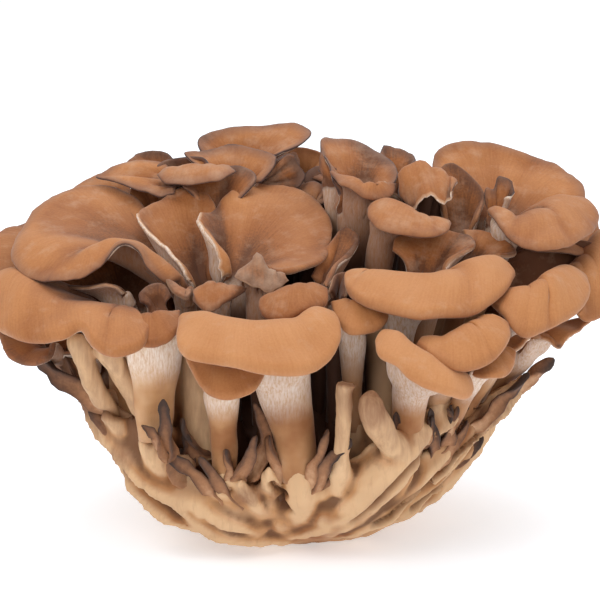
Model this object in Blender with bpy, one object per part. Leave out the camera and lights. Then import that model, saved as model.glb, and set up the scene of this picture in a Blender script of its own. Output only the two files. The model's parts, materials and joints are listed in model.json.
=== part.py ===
"""Maitake mushroom, a whole cultivated cluster cut flat under its base.

One fruiting body grew as one piece of flesh: a bowl-shaped base that branches into many stems,
each widening into a spoon-shaped cap, with small forked growths that never opened between them.
Lengths in the tables are millimetres. +Z is up, -Y is the front, +X is the right.
The origin is the middle of the flat cut face that the cluster rests on.
"""
import math

import bmesh
import bpy
import numpy as np
from mathutils import Vector, noise

MM = 0.001

# Driving dimensions, in millimetres
FOOT_RADIUS = 38            # flat cut face under the base
FOOT_LEVEL = 0.0
BASE_PROFILE = [(38, 0), (47, 5), (57, 14), (65, 26), (69, 38), (66, 48), (48, 54)]
BASE_TOP = 56               # middle of the base, hidden between the stems
BASE_LUMPS = 3.0            # how far the base swells in and out
CAP_MIN_THICKNESS = 4.4     # caps are kept at least this thick in the solid
LIMB_ROOT_HEIGHT = 12       # where the limbs spring from the base
LIMB_ROOT_REACH = 0.56      # how far out, as a share of the stem foot's distance
LIMB_ROOT_RADIUS = 9.0
VOXEL = 1.9                 # grain of the solid when the growths are fused
TRIANGLES = 9800            # triangles kept in the finished solid

# Resolution of one frond
SPANS = 22                  # faces across a cap, from its left end to its right end
STEM_RINGS = 9
CAP_RINGS = 20
RIM_CLOSE = 0.95            # from here outwards the edge rounds off

# The caps that show from the front. rim and crown run from the left end to the right end; the
# crown is the highest line of the cap, or swell gives it: how far out it lies and its lift.
FRONDS = {
    "front_cap": {
        "rim": [(-43, -66, 98), (-43, -79, 93), (-40, -88, 90), (-31, -92, 89), (-22, -95, 88),
            (-11, -96, 86), (0, -94, 85), (7, -89, 86), (12, -81, 89), (14, -72, 93),
            (12, -62, 97)],
        "crown": [(-38, -64, 101), (-33, -71, 102), (-24, -74, 101), (-15, -76, 100),
            (-4, -73, 100), (4, -68, 102), (8, -62, 101)],
        "neck": (-6, -62, 72), "foot": (0, -62, 36), "neck_size": (20, 13),
        "stem_size": (15, 12), "thick": 6,
    },
    "front_tongue": {
        "rim": [(-41, -68, 84), (-35, -80, 77), (-29, -84, 74), (-22, -85, 74), (-16, -82, 76),
            (-12, -73, 80)],
        "crown": [(-36, -66, 85), (-27, -74, 83), (-17, -70, 83)],
        "neck": (-28, -62, 70), "foot": (-27, -60, 38), "neck_size": (13, 10),
        "stem_size": (10, 9), "thick": 4,
    },
    "long_cap": {
        "rim": [(16, -40, 106), (17, -52, 104), (22, -60, 102), (31, -66, 100), (42, -69, 98),
            (52, -67, 99), (61, -64, 99), (68, -58, 101), (75, -48, 104), (79, -35, 107)],
        "crown": [(19, -37, 109), (29, -43, 110), (44, -47, 109), (55, -43, 111), (68, -35, 114),
            (75, -30, 112)],
        "neck": (37, -40, 90), "foot": (34, -38, 50), "neck_size": (13, 10),
        "stem_size": (10, 9), "thick": 6,
    },
    "low_right_cap": {
        "rim": [(27, -72, 90), (28, -82, 88), (34, -88, 87), (39, -91, 83), (46, -92, 79),
            (53, -90, 76), (59, -84, 74), (61, -75, 77)],
        "crown": [(29, -68, 94), (34, -74, 95), (40, -79, 91), (48, -81, 87), (56, -78, 82),
            (59, -72, 80)],
        "neck": (40, -62, 70), "foot": (38, -58, 46), "neck_size": (14, 10),
        "stem_size": (12, 10), "thick": 5,
    },
    "mid_right_cap": {
        "rim": [(41, -70, 90), (46, -79, 88), (52, -83, 85), (60, -83, 84), (69, -77, 86),
            (74, -68, 90), (75, -58, 93)],
        "crown": [(43, -66, 92), (53, -69, 94), (62, -66, 97), (70, -59, 99)],
        "neck": (52, -54, 74), "foot": (46, -44, 48), "neck_size": (13, 10),
        "stem_size": (10, 9), "thick": 5,
    },
    "low_right_lobe": {
        "rim": [(61, -73, 79), (67, -77, 79), (72, -75, 79), (76, -70, 82), (78, -61, 85)],
        "crown": [(62, -66, 83), (69, -68, 86), (75, -60, 88)],
        "neck": (62, -56, 72), "foot": (54, -44, 48), "neck_size": (9, 8), "stem_size": (8, 7),
        "thick": 4,
    },
    "right_bun": {
        "rim": [(69, -47, 98), (73, -57, 96), (76, -62, 93), (81, -63, 90), (88, -58, 91),
            (94, -52, 92), (102, -42, 94), (106, -32, 97), (106, -20, 101)],
        "crown": [(74, -41, 102), (84, -43, 105), (92, -35, 108), (100, -22, 107)],
        "neck": (78, -32, 84), "foot": (62, -26, 50), "neck_size": (14, 10),
        "stem_size": (10, 9), "thick": 5,
    },
    "far_right_cap": {
        "rim": [(102, -34, 91), (106, -33, 88), (113, -27, 89), (120, -17, 91), (125, -2, 94),
            (125, 12, 99)],
        "crown": [(105, -16, 103), (113, -4, 108), (118, 8, 107)],
        "neck": (96, -4, 84), "foot": (72, -6, 52), "neck_size": (14, 10), "stem_size": (10, 9),
        "thick": 5,
    },
    "far_right_under": {
        "rim": [(88, -40, 84), (92, -43, 83), (95, -44, 81), (98, -39, 84), (104, -31, 84),
            (110, -22, 86)],
        "swell": (0.6, 5), "neck": (84, -22, 72), "foot": (66, -18, 50), "neck_size": (12, 8),
        "stem_size": (9, 7), "thick": 3,
    },
    "right_small_leaf": {
        "rim": [(72, -50, 80), (77, -53, 82), (82, -50, 86), (84, -44, 88)],
        "swell": (0.6, 3), "neck": (72, -38, 74), "foot": (60, -34, 50), "neck_size": (9, 7),
        "stem_size": (7, 6), "thick": 3,
    },
    "centre_right_cap": {
        "rim": [(11, -46, 98), (14, -58, 93), (18, -63, 91), (26, -62, 92), (31, -57, 94),
            (31, -47, 96)],
        "crown": [(15, -48, 100), (21, -51, 101), (27, -48, 100)],
        "neck": (19, -48, 83), "foot": (20, -46, 50), "neck_size": (10, 8), "stem_size": (7, 7),
        "thick": 4,
    },
    "left_low_cap": {
        "rim": [(-120, -18, 92), (-115, -38, 89), (-106, -52, 88), (-96, -62, 88), (-85, -68, 91),
            (-78, -66, 94), (-73, -74, 90), (-65, -78, 88), (-56, -74, 90), (-53, -64, 93)],
        "crown": [(-114, -12, 100), (-104, -26, 106), (-91, -42, 103), (-76, -53, 100),
            (-64, -60, 98), (-57, -56, 97)],
        "neck": (-72, -44, 82), "foot": (-66, -40, 52), "neck_size": (20, 10),
        "stem_size": (13, 9), "thick": 6,
    },
    "left_low_lobe": {
        "rim": [(-114, -30, 84), (-109, -42, 82), (-107, -48, 80), (-102, -53, 77), (-96, -55, 77),
            (-91, -52, 79), (-89, -45, 83)],
        "swell": (0.6, 4), "neck": (-90, -34, 74), "foot": (-72, -28, 52), "neck_size": (12, 8),
        "stem_size": (9, 7), "thick": 3,
    },
    "left_big_cap": {
        "rim": [(-48, -36, 102), (-55, -38, 109), (-60, -34, 115), (-67, -34, 116),
            (-72, -40, 111), (-79, -44, 108), (-90, -42, 106), (-101, -32, 105), (-107, -16, 109),
            (-105, 0, 114), (-102, 14, 119), (-95, 26, 122), (-82, 34, 123), (-70, 34, 122),
            (-61, 24, 118), (-55, 6, 112)],
        "swell": (0.6, 9), "neck": (-42, -18, 94), "foot": (-30, -16, 50), "neck_size": (16, 9),
        "stem_size": (12, 8), "thick": 3.5,
    },
    "left_behind": {
        "rim": [(-116, -18, 99), (-122, -6, 104), (-120, 8, 108), (-108, 28, 110), (-98, 44, 112)],
        "swell": (0.6, 5), "neck": (-86, 8, 92), "foot": (-60, 4, 52), "neck_size": (14, 8),
        "stem_size": (10, 7), "thick": 3,
    },
    "hollow_leaf": {
        "rim": [(-72, -40, 98), (-77, -30, 100), (-71, -22, 101), (-65, -24, 99)],
        "swell": (0.6, -2), "neck": (-56, -32, 92), "foot": (-48, -30, 52), "neck_size": (10, 6),
        "stem_size": (8, 5), "thick": 2.5,
    },
    "twisted_knob": {
        "rim": [(-59, -58, 93), (-57, -68, 89), (-51, -70, 89), (-45, -67, 91), (-43, -59, 94),
            (-43, -50, 97)],
        "crown": [(-57, -54, 96), (-52, -58, 98), (-47, -54, 98)],
        "neck": (-52, -58, 84), "foot": (-53, -56, 50), "neck_size": (22, 12),
        "stem_size": (15, 11), "thick": 5,
    },
    "twisted_curl": {
        "rim": [(-58, -46, 98), (-58, -44, 101), (-54, -42, 104), (-50, -40, 103), (-47, -42, 99)],
        "swell": (0.6, 1), "neck": (-51, -46, 93), "foot": (-46, -42, 60), "neck_size": (8, 6),
        "stem_size": (6, 5), "thick": 3,
    },
    "upright_fan": {
        "rim": [(-42, -22, 100), (-46, -18, 107), (-52, -12, 113), (-61, -2, 119), (-58, 8, 122),
            (-50, 16, 125), (-44, 20, 127), (-37, 20, 125), (-32, 12, 120), (-30, -4, 111)],
        "swell": (0.6, 1), "neck": (-37, -18, 90), "foot": (-26, -14, 48), "neck_size": (14, 7),
        "stem_size": (10, 6), "thick": 2.8,
    },
    "centre_cap": {
        "rim": [(-29, -26, 102), (-32, -18, 113), (-38, -6, 121), (-33, 8, 121), (-28, 18, 124),
            (-21, 26, 126), (-10, 28, 126), (2, 22, 124), (10, 10, 120), (12, -6, 115),
            (9, -24, 109), (2, -36, 108), (-7, -38, 108), (-14, -34, 110)],
        "swell": (0.6, 5), "neck": (-24, -22, 96), "foot": (-14, -20, 50), "neck_size": (12, 8),
        "stem_size": (9, 7), "thick": 3.5,
    },
    "white_ruffle": {
        "rim": [(-23, -34, 105), (-19, -35, 108), (-16, -32, 112), (-13, -38, 109), (-6, -43, 106)],
        "swell": (0.6, 0), "neck": (-17, -40, 94), "foot": (-14, -40, 50), "neck_size": (11, 6),
        "stem_size": (8, 5), "thick": 2.4,
    },
    "little_flat_cap": {
        "rim": [(-39, -43, 99), (-35, -50, 98), (-30, -52, 99), (-24, -50, 101), (-20, -43, 102)],
        "crown": [(-37, -39, 102), (-29, -42, 104), (-22, -39, 104)],
        "neck": (-30, -36, 92), "foot": (-24, -34, 50), "neck_size": (9, 7), "stem_size": (7, 6),
        "thick": 3.4,
    },
    "little_left_leaf": {
        "rim": [(-49, -37, 104), (-46, -43, 101), (-41, -45, 99), (-38, -38, 101)],
        "swell": (0.6, 3), "neck": (-42, -33, 94), "foot": (-36, -32, 52), "neck_size": (8, 6),
        "stem_size": (6, 5), "thick": 2.6,
    },
    "centre_bun": {
        "rim": [(-15, -52, 100), (-14, -60, 98), (-10, -64, 97), (-5, -65, 96), (1, -61, 98),
            (9, -54, 99), (10, -45, 102)],
        "crown": [(-12, -50, 103), (-3, -51, 107), (5, -44, 106)],
        "neck": (-2, -44, 90), "foot": (-2, -42, 48), "neck_size": (11, 9), "stem_size": (8, 8),
        "thick": 4.5,
    },
    "dark_leaf": {
        "rim": [(4, -30, 104), (7, -22, 109), (12, -14, 114), (17, -6, 117), (22, -12, 114),
            (18, -22, 110), (12, -32, 107), (9, -40, 103)],
        "swell": (0.6, 1), "neck": (9, -30, 97), "foot": (6, -26, 48), "neck_size": (10, 7),
        "stem_size": (8, 6), "thick": 3,
    },
    "dark_sliver": {
        "rim": [(10, -42, 101), (13, -34, 105), (17, -32, 106), (17, -40, 103), (17, -46, 100)],
        "swell": (0.6, 1), "neck": (14, -38, 94), "foot": (12, -36, 50), "neck_size": (8, 6),
        "stem_size": (6, 5), "thick": 2.6,
    },
    "high_middle_cap": {
        "rim": [(25, -10, 125), (26, -20, 122), (30, -26, 120), (38, -30, 119), (46, -30, 118),
            (54, -24, 119), (56, -15, 120)],
        "crown": [(27, -6, 127), (33, -9, 129), (40, -13, 126), (48, -15, 123), (52, -12, 122)],
        "neck": (31, -12, 113), "foot": (28, -14, 52), "neck_size": (11, 8), "stem_size": (8, 7),
        "thick": 3.4,
    },
    "behind_long_cap": {
        "rim": [(34, -22, 112), (36, -17, 116), (45, -13, 117), (54, -11, 116), (62, -11, 115),
            (65, -18, 113), (59, -27, 112)],
        "swell": (0.6, 2), "neck": (46, -30, 98), "foot": (38, -28, 50), "neck_size": (14, 9),
        "stem_size": (10, 8), "thick": 3,
    },
    "right_blade": {
        "rim": [(61, -4, 115), (68, -4, 115), (77, -8, 112), (81, -14, 108), (74, -19, 108)],
        "swell": (0.6, 1), "neck": (64, -14, 102), "foot": (52, -10, 52), "neck_size": (10, 7),
        "stem_size": (8, 6), "thick": 2.6,
    },
    "right_lobed_cap": {
        "rim": [(70, -4, 123), (75, -19, 119), (80, -26, 116), (86, -28, 114), (95, -26, 113),
            (105, -16, 114), (112, -2, 116), (113, 10, 120), (109, 20, 122)],
        "crown": [(73, 0, 124), (81, -8, 122), (89, -2, 124), (99, 8, 126), (104, 14, 125)],
        "neck": (75, -3, 109), "foot": (58, -4, 54), "neck_size": (13, 9), "stem_size": (10, 8),
        "thick": 3.6,
    },
    "back_right_fan": {
        "rim": [(51, 28, 133), (53, 36, 137), (61, 42, 139), (73, 44, 139), (84, 42, 137),
            (94, 40, 134), (103, 34, 130), (109, 26, 126), (109, 16, 121)],
        "swell": (0.6, 2), "neck": (74, 10, 110), "foot": (52, 8, 54), "neck_size": (20, 9),
        "stem_size": (15, 8), "thick": 3,
    },
    "right_peak": {
        "rim": [(70, 8, 123), (72, 12, 128), (76, 14, 132), (81, 14, 129), (80, 8, 121)],
        "swell": (0.6, 0), "neck": (74, 5, 113), "foot": (54, 6, 54), "neck_size": (9, 6),
        "stem_size": (7, 5), "thick": 2.6,
    },
    "curled_blade": {
        "rim": [(51, 8, 130), (53, 14, 135), (58, 18, 136), (65, 16, 132), (69, 10, 127),
            (67, 1, 118)],
        "swell": (0.6, -3), "neck": (60, 0, 108), "foot": (46, 0, 52), "neck_size": (10, 7),
        "stem_size": (8, 6), "thick": 2.8,
    },
    "torn_tube": {
        "rim": [(37, 0, 127), (38, 8, 134), (44, 12, 137), (51, 10, 136), (58, 4, 131),
            (55, -4, 127), (49, -6, 127), (44, -8, 124)],
        "swell": (0.6, 2), "neck": (44, 2, 114), "foot": (34, 0, 52), "neck_size": (9, 8),
        "stem_size": (7, 7), "thick": 2.6,
    },
    "high_fan": {
        "rim": [(13, 3, 133), (11, 14, 138), (8, 22, 140), (9, 30, 144), (18, 34, 143),
            (28, 32, 140), (35, 22, 137), (37, 12, 133), (34, 2, 128)],
        "swell": (0.6, 2), "neck": (20, 4, 118), "foot": (16, 2, 52), "neck_size": (12, 9),
        "stem_size": (9, 8), "thick": 3,
    },
    "high_fan_front": {
        "rim": [(11, 10, 135), (13, 2, 134), (15, -4, 132), (20, -7, 131), (25, -8, 128),
            (34, -2, 128), (37, 8, 131)],
        "crown": [(14, 8, 135), (20, 0, 135), (26, -1, 134), (33, 6, 133)],
        "neck": (22, 2, 119), "foot": (18, 0, 52), "neck_size": (12, 9), "stem_size": (9, 8),
        "thick": 3,
    },
    "high_torn": {
        "rim": [(31, 30, 137), (33, 36, 139), (42, 34, 137), (44, 26, 134), (40, 16, 130)],
        "swell": (0.6, 1), "neck": (36, 20, 116), "foot": (30, 14, 52), "neck_size": (10, 7),
        "stem_size": (8, 6), "thick": 2.6,
    },
    "peek_leaf": {
        "rim": [(-2, 36, 123), (5, 34, 126), (10, 30, 124), (10, 22, 120)],
        "swell": (0.6, 1), "neck": (4, 24, 112), "foot": (4, 16, 52), "neck_size": (8, 6),
        "stem_size": (6, 5), "thick": 2.6,
    },
    "dark_ruffle": {
        "rim": [(1, 42, 123), (3, 46, 127), (8, 47, 129), (13, 42, 128), (14, 36, 125)],
        "swell": (0.6, 1), "neck": (6, 36, 114), "foot": (6, 22, 54), "neck_size": (8, 6),
        "stem_size": (6, 5), "thick": 2.6,
    },
    "top_plate": {
        "rim": [(-42, 52, 139), (-39, 44, 138), (-28, 38, 139), (-17, 35, 138), (-9, 34, 137),
            (0, 40, 140), (3, 48, 142), (1, 54, 143)],
        "crown": [(-40, 57, 141), (-26, 60, 142), (-14, 60, 143), (-6, 59, 144), (-1, 55, 144)],
        "neck": (-20, 66, 124), "foot": (-14, 34, 56), "neck_size": (16, 9),
        "stem_size": (12, 8), "thick": 3,
    },
    "top_shelf": {
        "rim": [(-45, 36, 137), (-38, 26, 136), (-33, 20, 134), (-24, 16, 133), (-16, 12, 130),
            (-12, 18, 134), (-9, 28, 136)],
        "swell": (0.55, 10), "neck": (-24, 44, 122), "foot": (-18, 26, 54), "neck_size": (14, 9),
        "stem_size": (10, 8), "thick": 3,
    },
    "top_rolled": {
        "rim": [(-55, 22, 130), (-51, 14, 128), (-44, 11, 129), (-37, 8, 128), (-32, 4, 124),
            (-28, 6, 126), (-19, 10, 131), (-17, 16, 132)],
        "crown": [(-51, 22, 133), (-37, 20, 135), (-24, 17, 134)],
        "neck": (-36, 28, 120), "foot": (-26, 14, 54), "neck_size": (13, 8),
        "stem_size": (10, 7), "thick": 3,
    },
    "top_left_cap": {
        "rim": [(-80, 38, 127), (-79, 33, 127), (-73, 29, 126), (-64, 24, 124), (-58, 20, 123),
            (-53, 17, 123), (-48, 18, 127), (-47, 26, 130)],
        "crown": [(-77, 41, 129), (-67, 38, 132), (-56, 31, 132), (-51, 28, 131)],
        "neck": (-56, 46, 116), "foot": (-36, 26, 54), "neck_size": (13, 8),
        "stem_size": (10, 7), "thick": 3,
    },
    "top_left_fold": {
        "rim": [(-70, 50, 128), (-66, 54, 132), (-60, 55, 133), (-52, 51, 133), (-47, 44, 130)],
        "swell": (0.6, 2), "neck": (-52, 54, 116), "foot": (-32, 32, 54), "neck_size": (11, 7),
        "stem_size": (8, 6), "thick": 2.6,
    },
    "top_dark_strip": {
        "rim": [(-57, 33, 131), (-53, 36, 133), (-46, 34, 134), (-38, 32, 135), (-33, 27, 133)],
        "swell": (0.6, 2), "neck": (-42, 38, 120), "foot": (-30, 24, 54), "neck_size": (10, 7),
        "stem_size": (8, 6), "thick": 2.6,
    },
    "streaked_leaf": {
        "rim": [(-16, 19, 127), (-13, 24, 132), (-8, 28, 134), (-3, 30, 136), (0, 28, 133),
            (3, 25, 127)],
        "swell": (0.6, 1), "neck": (-6, 30, 116), "foot": (-4, 20, 54), "neck_size": (11, 7),
        "stem_size": (8, 6), "thick": 2.6,
    },
    "back_peek": {
        "rim": [(-8, 48, 130), (-2, 54, 135), (8, 53, 133), (11, 46, 130)],
        "swell": (0.6, 2), "neck": (2, 50, 118), "foot": (2, 30, 54), "neck_size": (10, 7),
        "stem_size": (8, 6), "thick": 2.6,
    },
    "behind_left_cap": {
        "rim": [(-92, 40, 117), (-90, 46, 120), (-86, 50, 122), (-79, 53, 125), (-69, 56, 126)],
        "swell": (0.6, 3), "neck": (-68, 42, 112), "foot": (-44, 26, 54), "neck_size": (12, 8),
        "stem_size": (9, 7), "thick": 2.8,
    },}

# The caps round the back and the sides:
# name: (azimuth from the back towards the right, radius, height, width, depth, lift)
RING_FRONDS = {
    "back_outer_1": (-64, 106, 92, 50, 34, 8),
    "back_outer_2": (-42, 104, 94, 54, 36, 9),
    "back_outer_3": (-21, 105, 90, 48, 32, 8),
    "back_outer_4": (0, 104, 95, 52, 36, 9),
    "back_outer_5": (20, 105, 91, 48, 34, 8),
    "back_outer_6": (41, 104, 95, 54, 36, 9),
    "back_outer_7": (62, 106, 92, 48, 32, 8),
    "back_lower_1": (-53, 96, 75, 34, 22, 5),
    "back_lower_2": (-31, 98, 73, 32, 20, 5),
    "back_lower_3": (-10, 95, 76, 34, 22, 5),
    "back_lower_4": (11, 97, 73, 32, 20, 5),
    "back_lower_5": (31, 96, 76, 34, 22, 5),
    "back_lower_6": (52, 98, 74, 34, 22, 5),
    "back_middle_1": (-52, 86, 109, 48, 30, 6),
    "back_middle_2": (-30, 87, 113, 48, 32, 7),
    "back_middle_3": (-8, 88, 112, 46, 30, 6),
    "back_middle_4": (13, 87, 114, 48, 32, 7),
    "back_middle_5": (34, 86, 112, 46, 30, 6),
    "back_middle_6": (54, 88, 108, 46, 30, 6),
    "back_upper_1": (-20, 76, 127, 40, 26, 5),
    "back_upper_2": (8, 74, 128, 40, 28, 5),
    "back_upper_3": (32, 70, 127, 36, 26, 5),
    "right_side_upper": (78, 122, 108, 46, 30, 6),
    "right_side_lower": (84, 110, 86, 36, 24, 5),
    "right_side_back": (70, 112, 98, 36, 26, 6),
    "left_side_upper": (-74, 120, 100, 46, 30, 6),
    "left_side_lower": (-86, 110, 80, 36, 24, 5),
    "left_side_front": (-104, 106, 76, 30, 20, 4),
    "right_side_front": (100, 104, 78, 30, 20, 4),
    "inner_left": (-48, 52, 118, 30, 20, 3),
    "inner_right": (46, 52, 124, 28, 20, 3),
    "inner_back": (10, 54, 126, 30, 20, 3),
}

# Growths with no cap: name: [(x, y, z, radius), ...] from the tip down to the base
FINGERS = {
    "flat_topped_stem": [(17, -72, 77, 5), (17, -71, 73, 3.4), (17, -69, 58, 3), (16, -64, 38, 5)],
    "blunt_stem": [(23, -71, 68, 5), (25, -69, 60, 6), (30, -64, 50, 6), (36, -56, 40, 8)],
    "left_prop": [(-79, -56, 86, 4), (-74, -52, 70, 4), (-68, -46, 56, 5), (-54, -36, 36, 8)],
    "second_prop": [(-69, -58, 84, 5), (-65, -56, 76, 5), (-59, -54, 66, 5), (-52, -48, 44, 8)],
    "dark_stem_left": [(-40, -52, 86, 5), (-38, -50, 66, 5), (-36, -50, 40, 6)],
    "dark_stem_right": [(30, -42, 84, 5), (28, -44, 66, 5), (26, -46, 44, 6)],
    "pale_blade": [(64, -50, 70, 3), (61, -50, 61, 4), (54, -50, 52, 6), (46, -52, 44, 7)],
    "long_branch": [(88, -20, 63, 4), (80, -25, 58, 4), (72, -30, 52, 6), (58, -37, 41, 8)],
    "ridge_front": [(49, -50, 47, 6), (36, -56, 37, 8), (27, -56, 30, 8), (20, -50, 18, 9)],
    "ridge_right": [(55, -40, 40, 5), (47, -44, 31, 7), (38, -44, 23, 8), (30, -38, 12, 9)],
    "ridge_far_right": [(68, -26, 46, 5), (60, -28, 34, 7), (48, -28, 20, 9)],
    "left_finger": [(-94, -40, 73, 2.6), (-84, -43, 67, 2.8), (-73, -46, 60, 3.4), (-58, -40, 48, 6)],
    "left_blade": [(-93, -36, 80, 2), (-85, -38, 73, 2.6), (-74, -40, 62, 4), (-58, -36, 44, 6)],
    "left_ear": [(-76, -42, 57, 2.6), (-71, -44, 49, 4.4), (-62, -42, 40, 7), (-48, -34, 28, 9)],
    "left_root": [(-76, -20, 52, 4), (-68, -20, 38, 7), (-54, -18, 20, 9)],
    "fork_left_a": [(-49, -66, 65, 2), (-48, -62, 54, 2.8), (-47, -56, 40, 5)],
    "fork_left_b": [(-54, -64, 58, 1.8), (-50, -61, 50, 2.6), (-47, -56, 40, 5)],
    "middle_spike": [(-15, -70, 64, 2), (-15, -66, 50, 3.2), (-16, -60, 33, 6)],
    "small_spike": [(-10, -70, 53, 2), (-8, -65, 44, 3), (-6, -58, 32, 6)],
    "knob_spike": [(-25, -68, 48, 2.4), (-26, -63, 40, 3.6), (-26, -56, 28, 6)],
    "bent_spike": [(17, -70, 54, 2), (9, -68, 46, 3.4), (3, -62, 34, 5), (0, -52, 22, 7)],
    "thin_spike": [(10, -70, 57, 1.8), (7, -67, 48, 2.6), (4, -62, 34, 5)],
    "low_spike": [(-34, -64, 45, 2.2), (-28, -62, 36, 3.4), (-20, -54, 24, 6)],
    "back_spike_1": [(-30, 78, 56, 3), (-26, 66, 42, 6), (-18, 46, 20, 9)],
    "back_spike_2": [(22, 80, 54, 3), (20, 68, 40, 6), (14, 48, 18, 9)],
    "back_spike_3": [(-60, 58, 56, 3), (-50, 50, 40, 6), (-36, 36, 20, 9)],
    "back_spike_4": [(62, 56, 56, 3), (52, 48, 40, 6), (38, 36, 20, 9)],
}


def unit(vectors):
    """Vectors of length one."""
    vectors = np.asarray(vectors, float)
    return vectors / np.maximum(np.linalg.norm(vectors, axis=-1, keepdims=True), 1e-9)


def ease(value):
    """Rises smoothly from 0 to 1 between 0 and 1."""
    value = np.clip(value, 0, 1)
    return value * value * (3 - 2 * value)


def spline(points, where):
    """Reads a smooth curve through the points at positions counted in points."""
    points = np.asarray(points, float)
    padded = np.vstack([2 * points[0] - points[1], points, 2 * points[-1] - points[-2]])
    start = np.clip(np.floor(where).astype(int), 0, len(points) - 2)
    along = (where - start)[:, None]
    a, b, c, d = padded[start], padded[start + 1], padded[start + 2], padded[start + 3]
    return 0.5 * (2 * b + (c - a) * along + (2 * a - 5 * b + 4 * c - d) * along**2
                  + (3 * b - a - 3 * c + d) * along**3)


def hermite(start, end, leave, arrive, along):
    """A cubic from start to end with the given tangents."""
    return ((2 * along**3 - 3 * along**2 + 1) * start + (along**3 - 2 * along**2 + along) * leave
            + (3 * along**2 - 2 * along**3) * end + (along**3 - along**2) * arrive)


def lumps(points, size, seed):
    """Smooth noise between about -1 and 1 at each point; size is the lumps' spacing."""
    shift = Vector((seed * 7.3, seed * 3.1, seed * 5.7))
    flat = [noise.noise(Vector(point / size) + shift) for point in points.reshape(-1, 3)]
    return np.array(flat).reshape(points.shape[:-1])


def ring_frond(azimuth, radius, height, width, depth, lift):
    """A spoon-shaped cap that leans outwards at an azimuth, as the tables above describe one."""
    turn = math.radians(azimuth)
    out = np.array((math.sin(turn), math.cos(turn), 0.0))
    side = np.array((math.cos(turn), -math.sin(turn), 0.0))
    up = np.array((0.0, 0.0, 1.0))
    rim = []
    for step in range(-3, 4):
        angle = math.radians(step * 36)
        wave = 1.5 * math.sin(3 * angle + azimuth)
        rim.append(out * (radius - depth + depth * math.cos(angle))
                   + side * (width / 2 * math.sin(angle)) + up * (height + wave))
    return {
        "rim": rim,
        "swell": (0.6, lift),
        "neck": tuple(out * (radius - depth - 8) + up * (height - 12)),
        "foot": tuple(out * min(radius * 0.62, 66) + up * 50),
        "neck_size": (width * 0.3, 8),
        "stem_size": (width * 0.2, 8),
        "thick": 3.5,
    }


def cap_rings(frond, seed):
    """Rings of points over one cap, each going out over the top and back underneath."""
    rim, neck, foot = (np.array(frond[key], float) for key in ("rim", "neck", "foot"))
    neck_width, neck_depth = frond["neck_size"]
    thick = max(frond["thick"], CAP_MIN_THICKNESS)
    across = np.linspace(-1, 1, SPANS + 1)
    across = 0.5 * across + 0.5 * np.sin(across * math.pi / 2)
    edge = spline(rim, (across + 1) / 2 * (len(rim) - 1))
    if "crown" in frond:
        crown = spline(frond["crown"], (across + 1) / 2 * (len(frond["crown"]) - 1))
    else:
        reach, lift = frond["swell"]
        rise = np.array((0, 0, lift)) * (1 - 0.4 * across[:, None]**2)
        crown = neck + (edge - neck) * reach + rise
    neck_way = unit(unit(neck - foot) * 0.6 + unit(crown[SPANS // 2] - neck) * 0.4
                    + np.array((0, 0, 0.2)))
    lateral = edge[-1] - edge[0]
    lateral = unit(lateral - neck_way * (lateral @ neck_way))
    inner = neck + lateral * (across * neck_width / 2)[:, None]

    to_crown = np.linalg.norm(crown - inner, axis=1)
    to_edge = np.linalg.norm(edge - crown, axis=1)
    peak = np.clip(to_crown / (to_crown + to_edge), 0.25, 0.8)[:, None]
    over = (crown - inner) / peak * (1 - peak) + (edge - crown) / (1 - peak) * peak
    leave = unit(neck_way * 0.55 + unit(crown - inner) * 0.45) * to_crown[:, None] / peak
    arrive = 1.5 * (edge - crown) / (1 - peak) - 0.5 * over
    outward = np.concatenate([np.linspace(0, RIM_CLOSE, CAP_RINGS - 2),
                              [0.975, 0.992, 1.0]])
    middle = []
    for t in outward:
        first = t <= peak
        along = np.where(first, t / peak, (t - peak) / (1 - peak))
        climb = hermite(inner, crown, leave * peak, over * peak, along)
        fall = hermite(crown, edge, over * (1 - peak), arrive * (1 - peak), along)
        middle.append(np.where(first, climb, fall))
    middle = np.array(middle)

    normal = unit(np.cross(np.gradient(middle, axis=1), np.gradient(middle, axis=0)))
    if normal[len(outward) // 2, SPANS // 2, 2] < 0:
        normal = -normal
    wave = lumps(middle, 22, seed) * outward[:, None]
    middle = middle + normal * (2.0 * wave)[..., None]
    stem_normal = unit(np.cross(lateral, neck_way))
    if stem_normal @ normal[3:8].mean((0, 1)) < 0:
        stem_normal = -stem_normal
    blend = ease(outward / 0.2)[:, None, None]
    normal = unit(normal * blend + stem_normal * (1 - blend))

    height = thick + (neck_depth - thick) * (1 - ease(outward / 0.5))**1.3
    round_off = np.sqrt(1 - (np.clip(outward - RIM_CLOSE, 0, 1) / (1 - RIM_CLOSE))**2)
    power = 2 + 8 * ease(outward / 0.45)
    fill = np.array([(1 - np.abs(across)**p)**(1 / p) for p in power])
    half = ((height * round_off)[:, None] * fill / 2)[..., None]
    top, under = middle + normal * half, middle - normal * half
    return np.concatenate([top, under[:, -2:0:-1]], axis=1), lateral, neck_way, stem_normal, across


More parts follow.
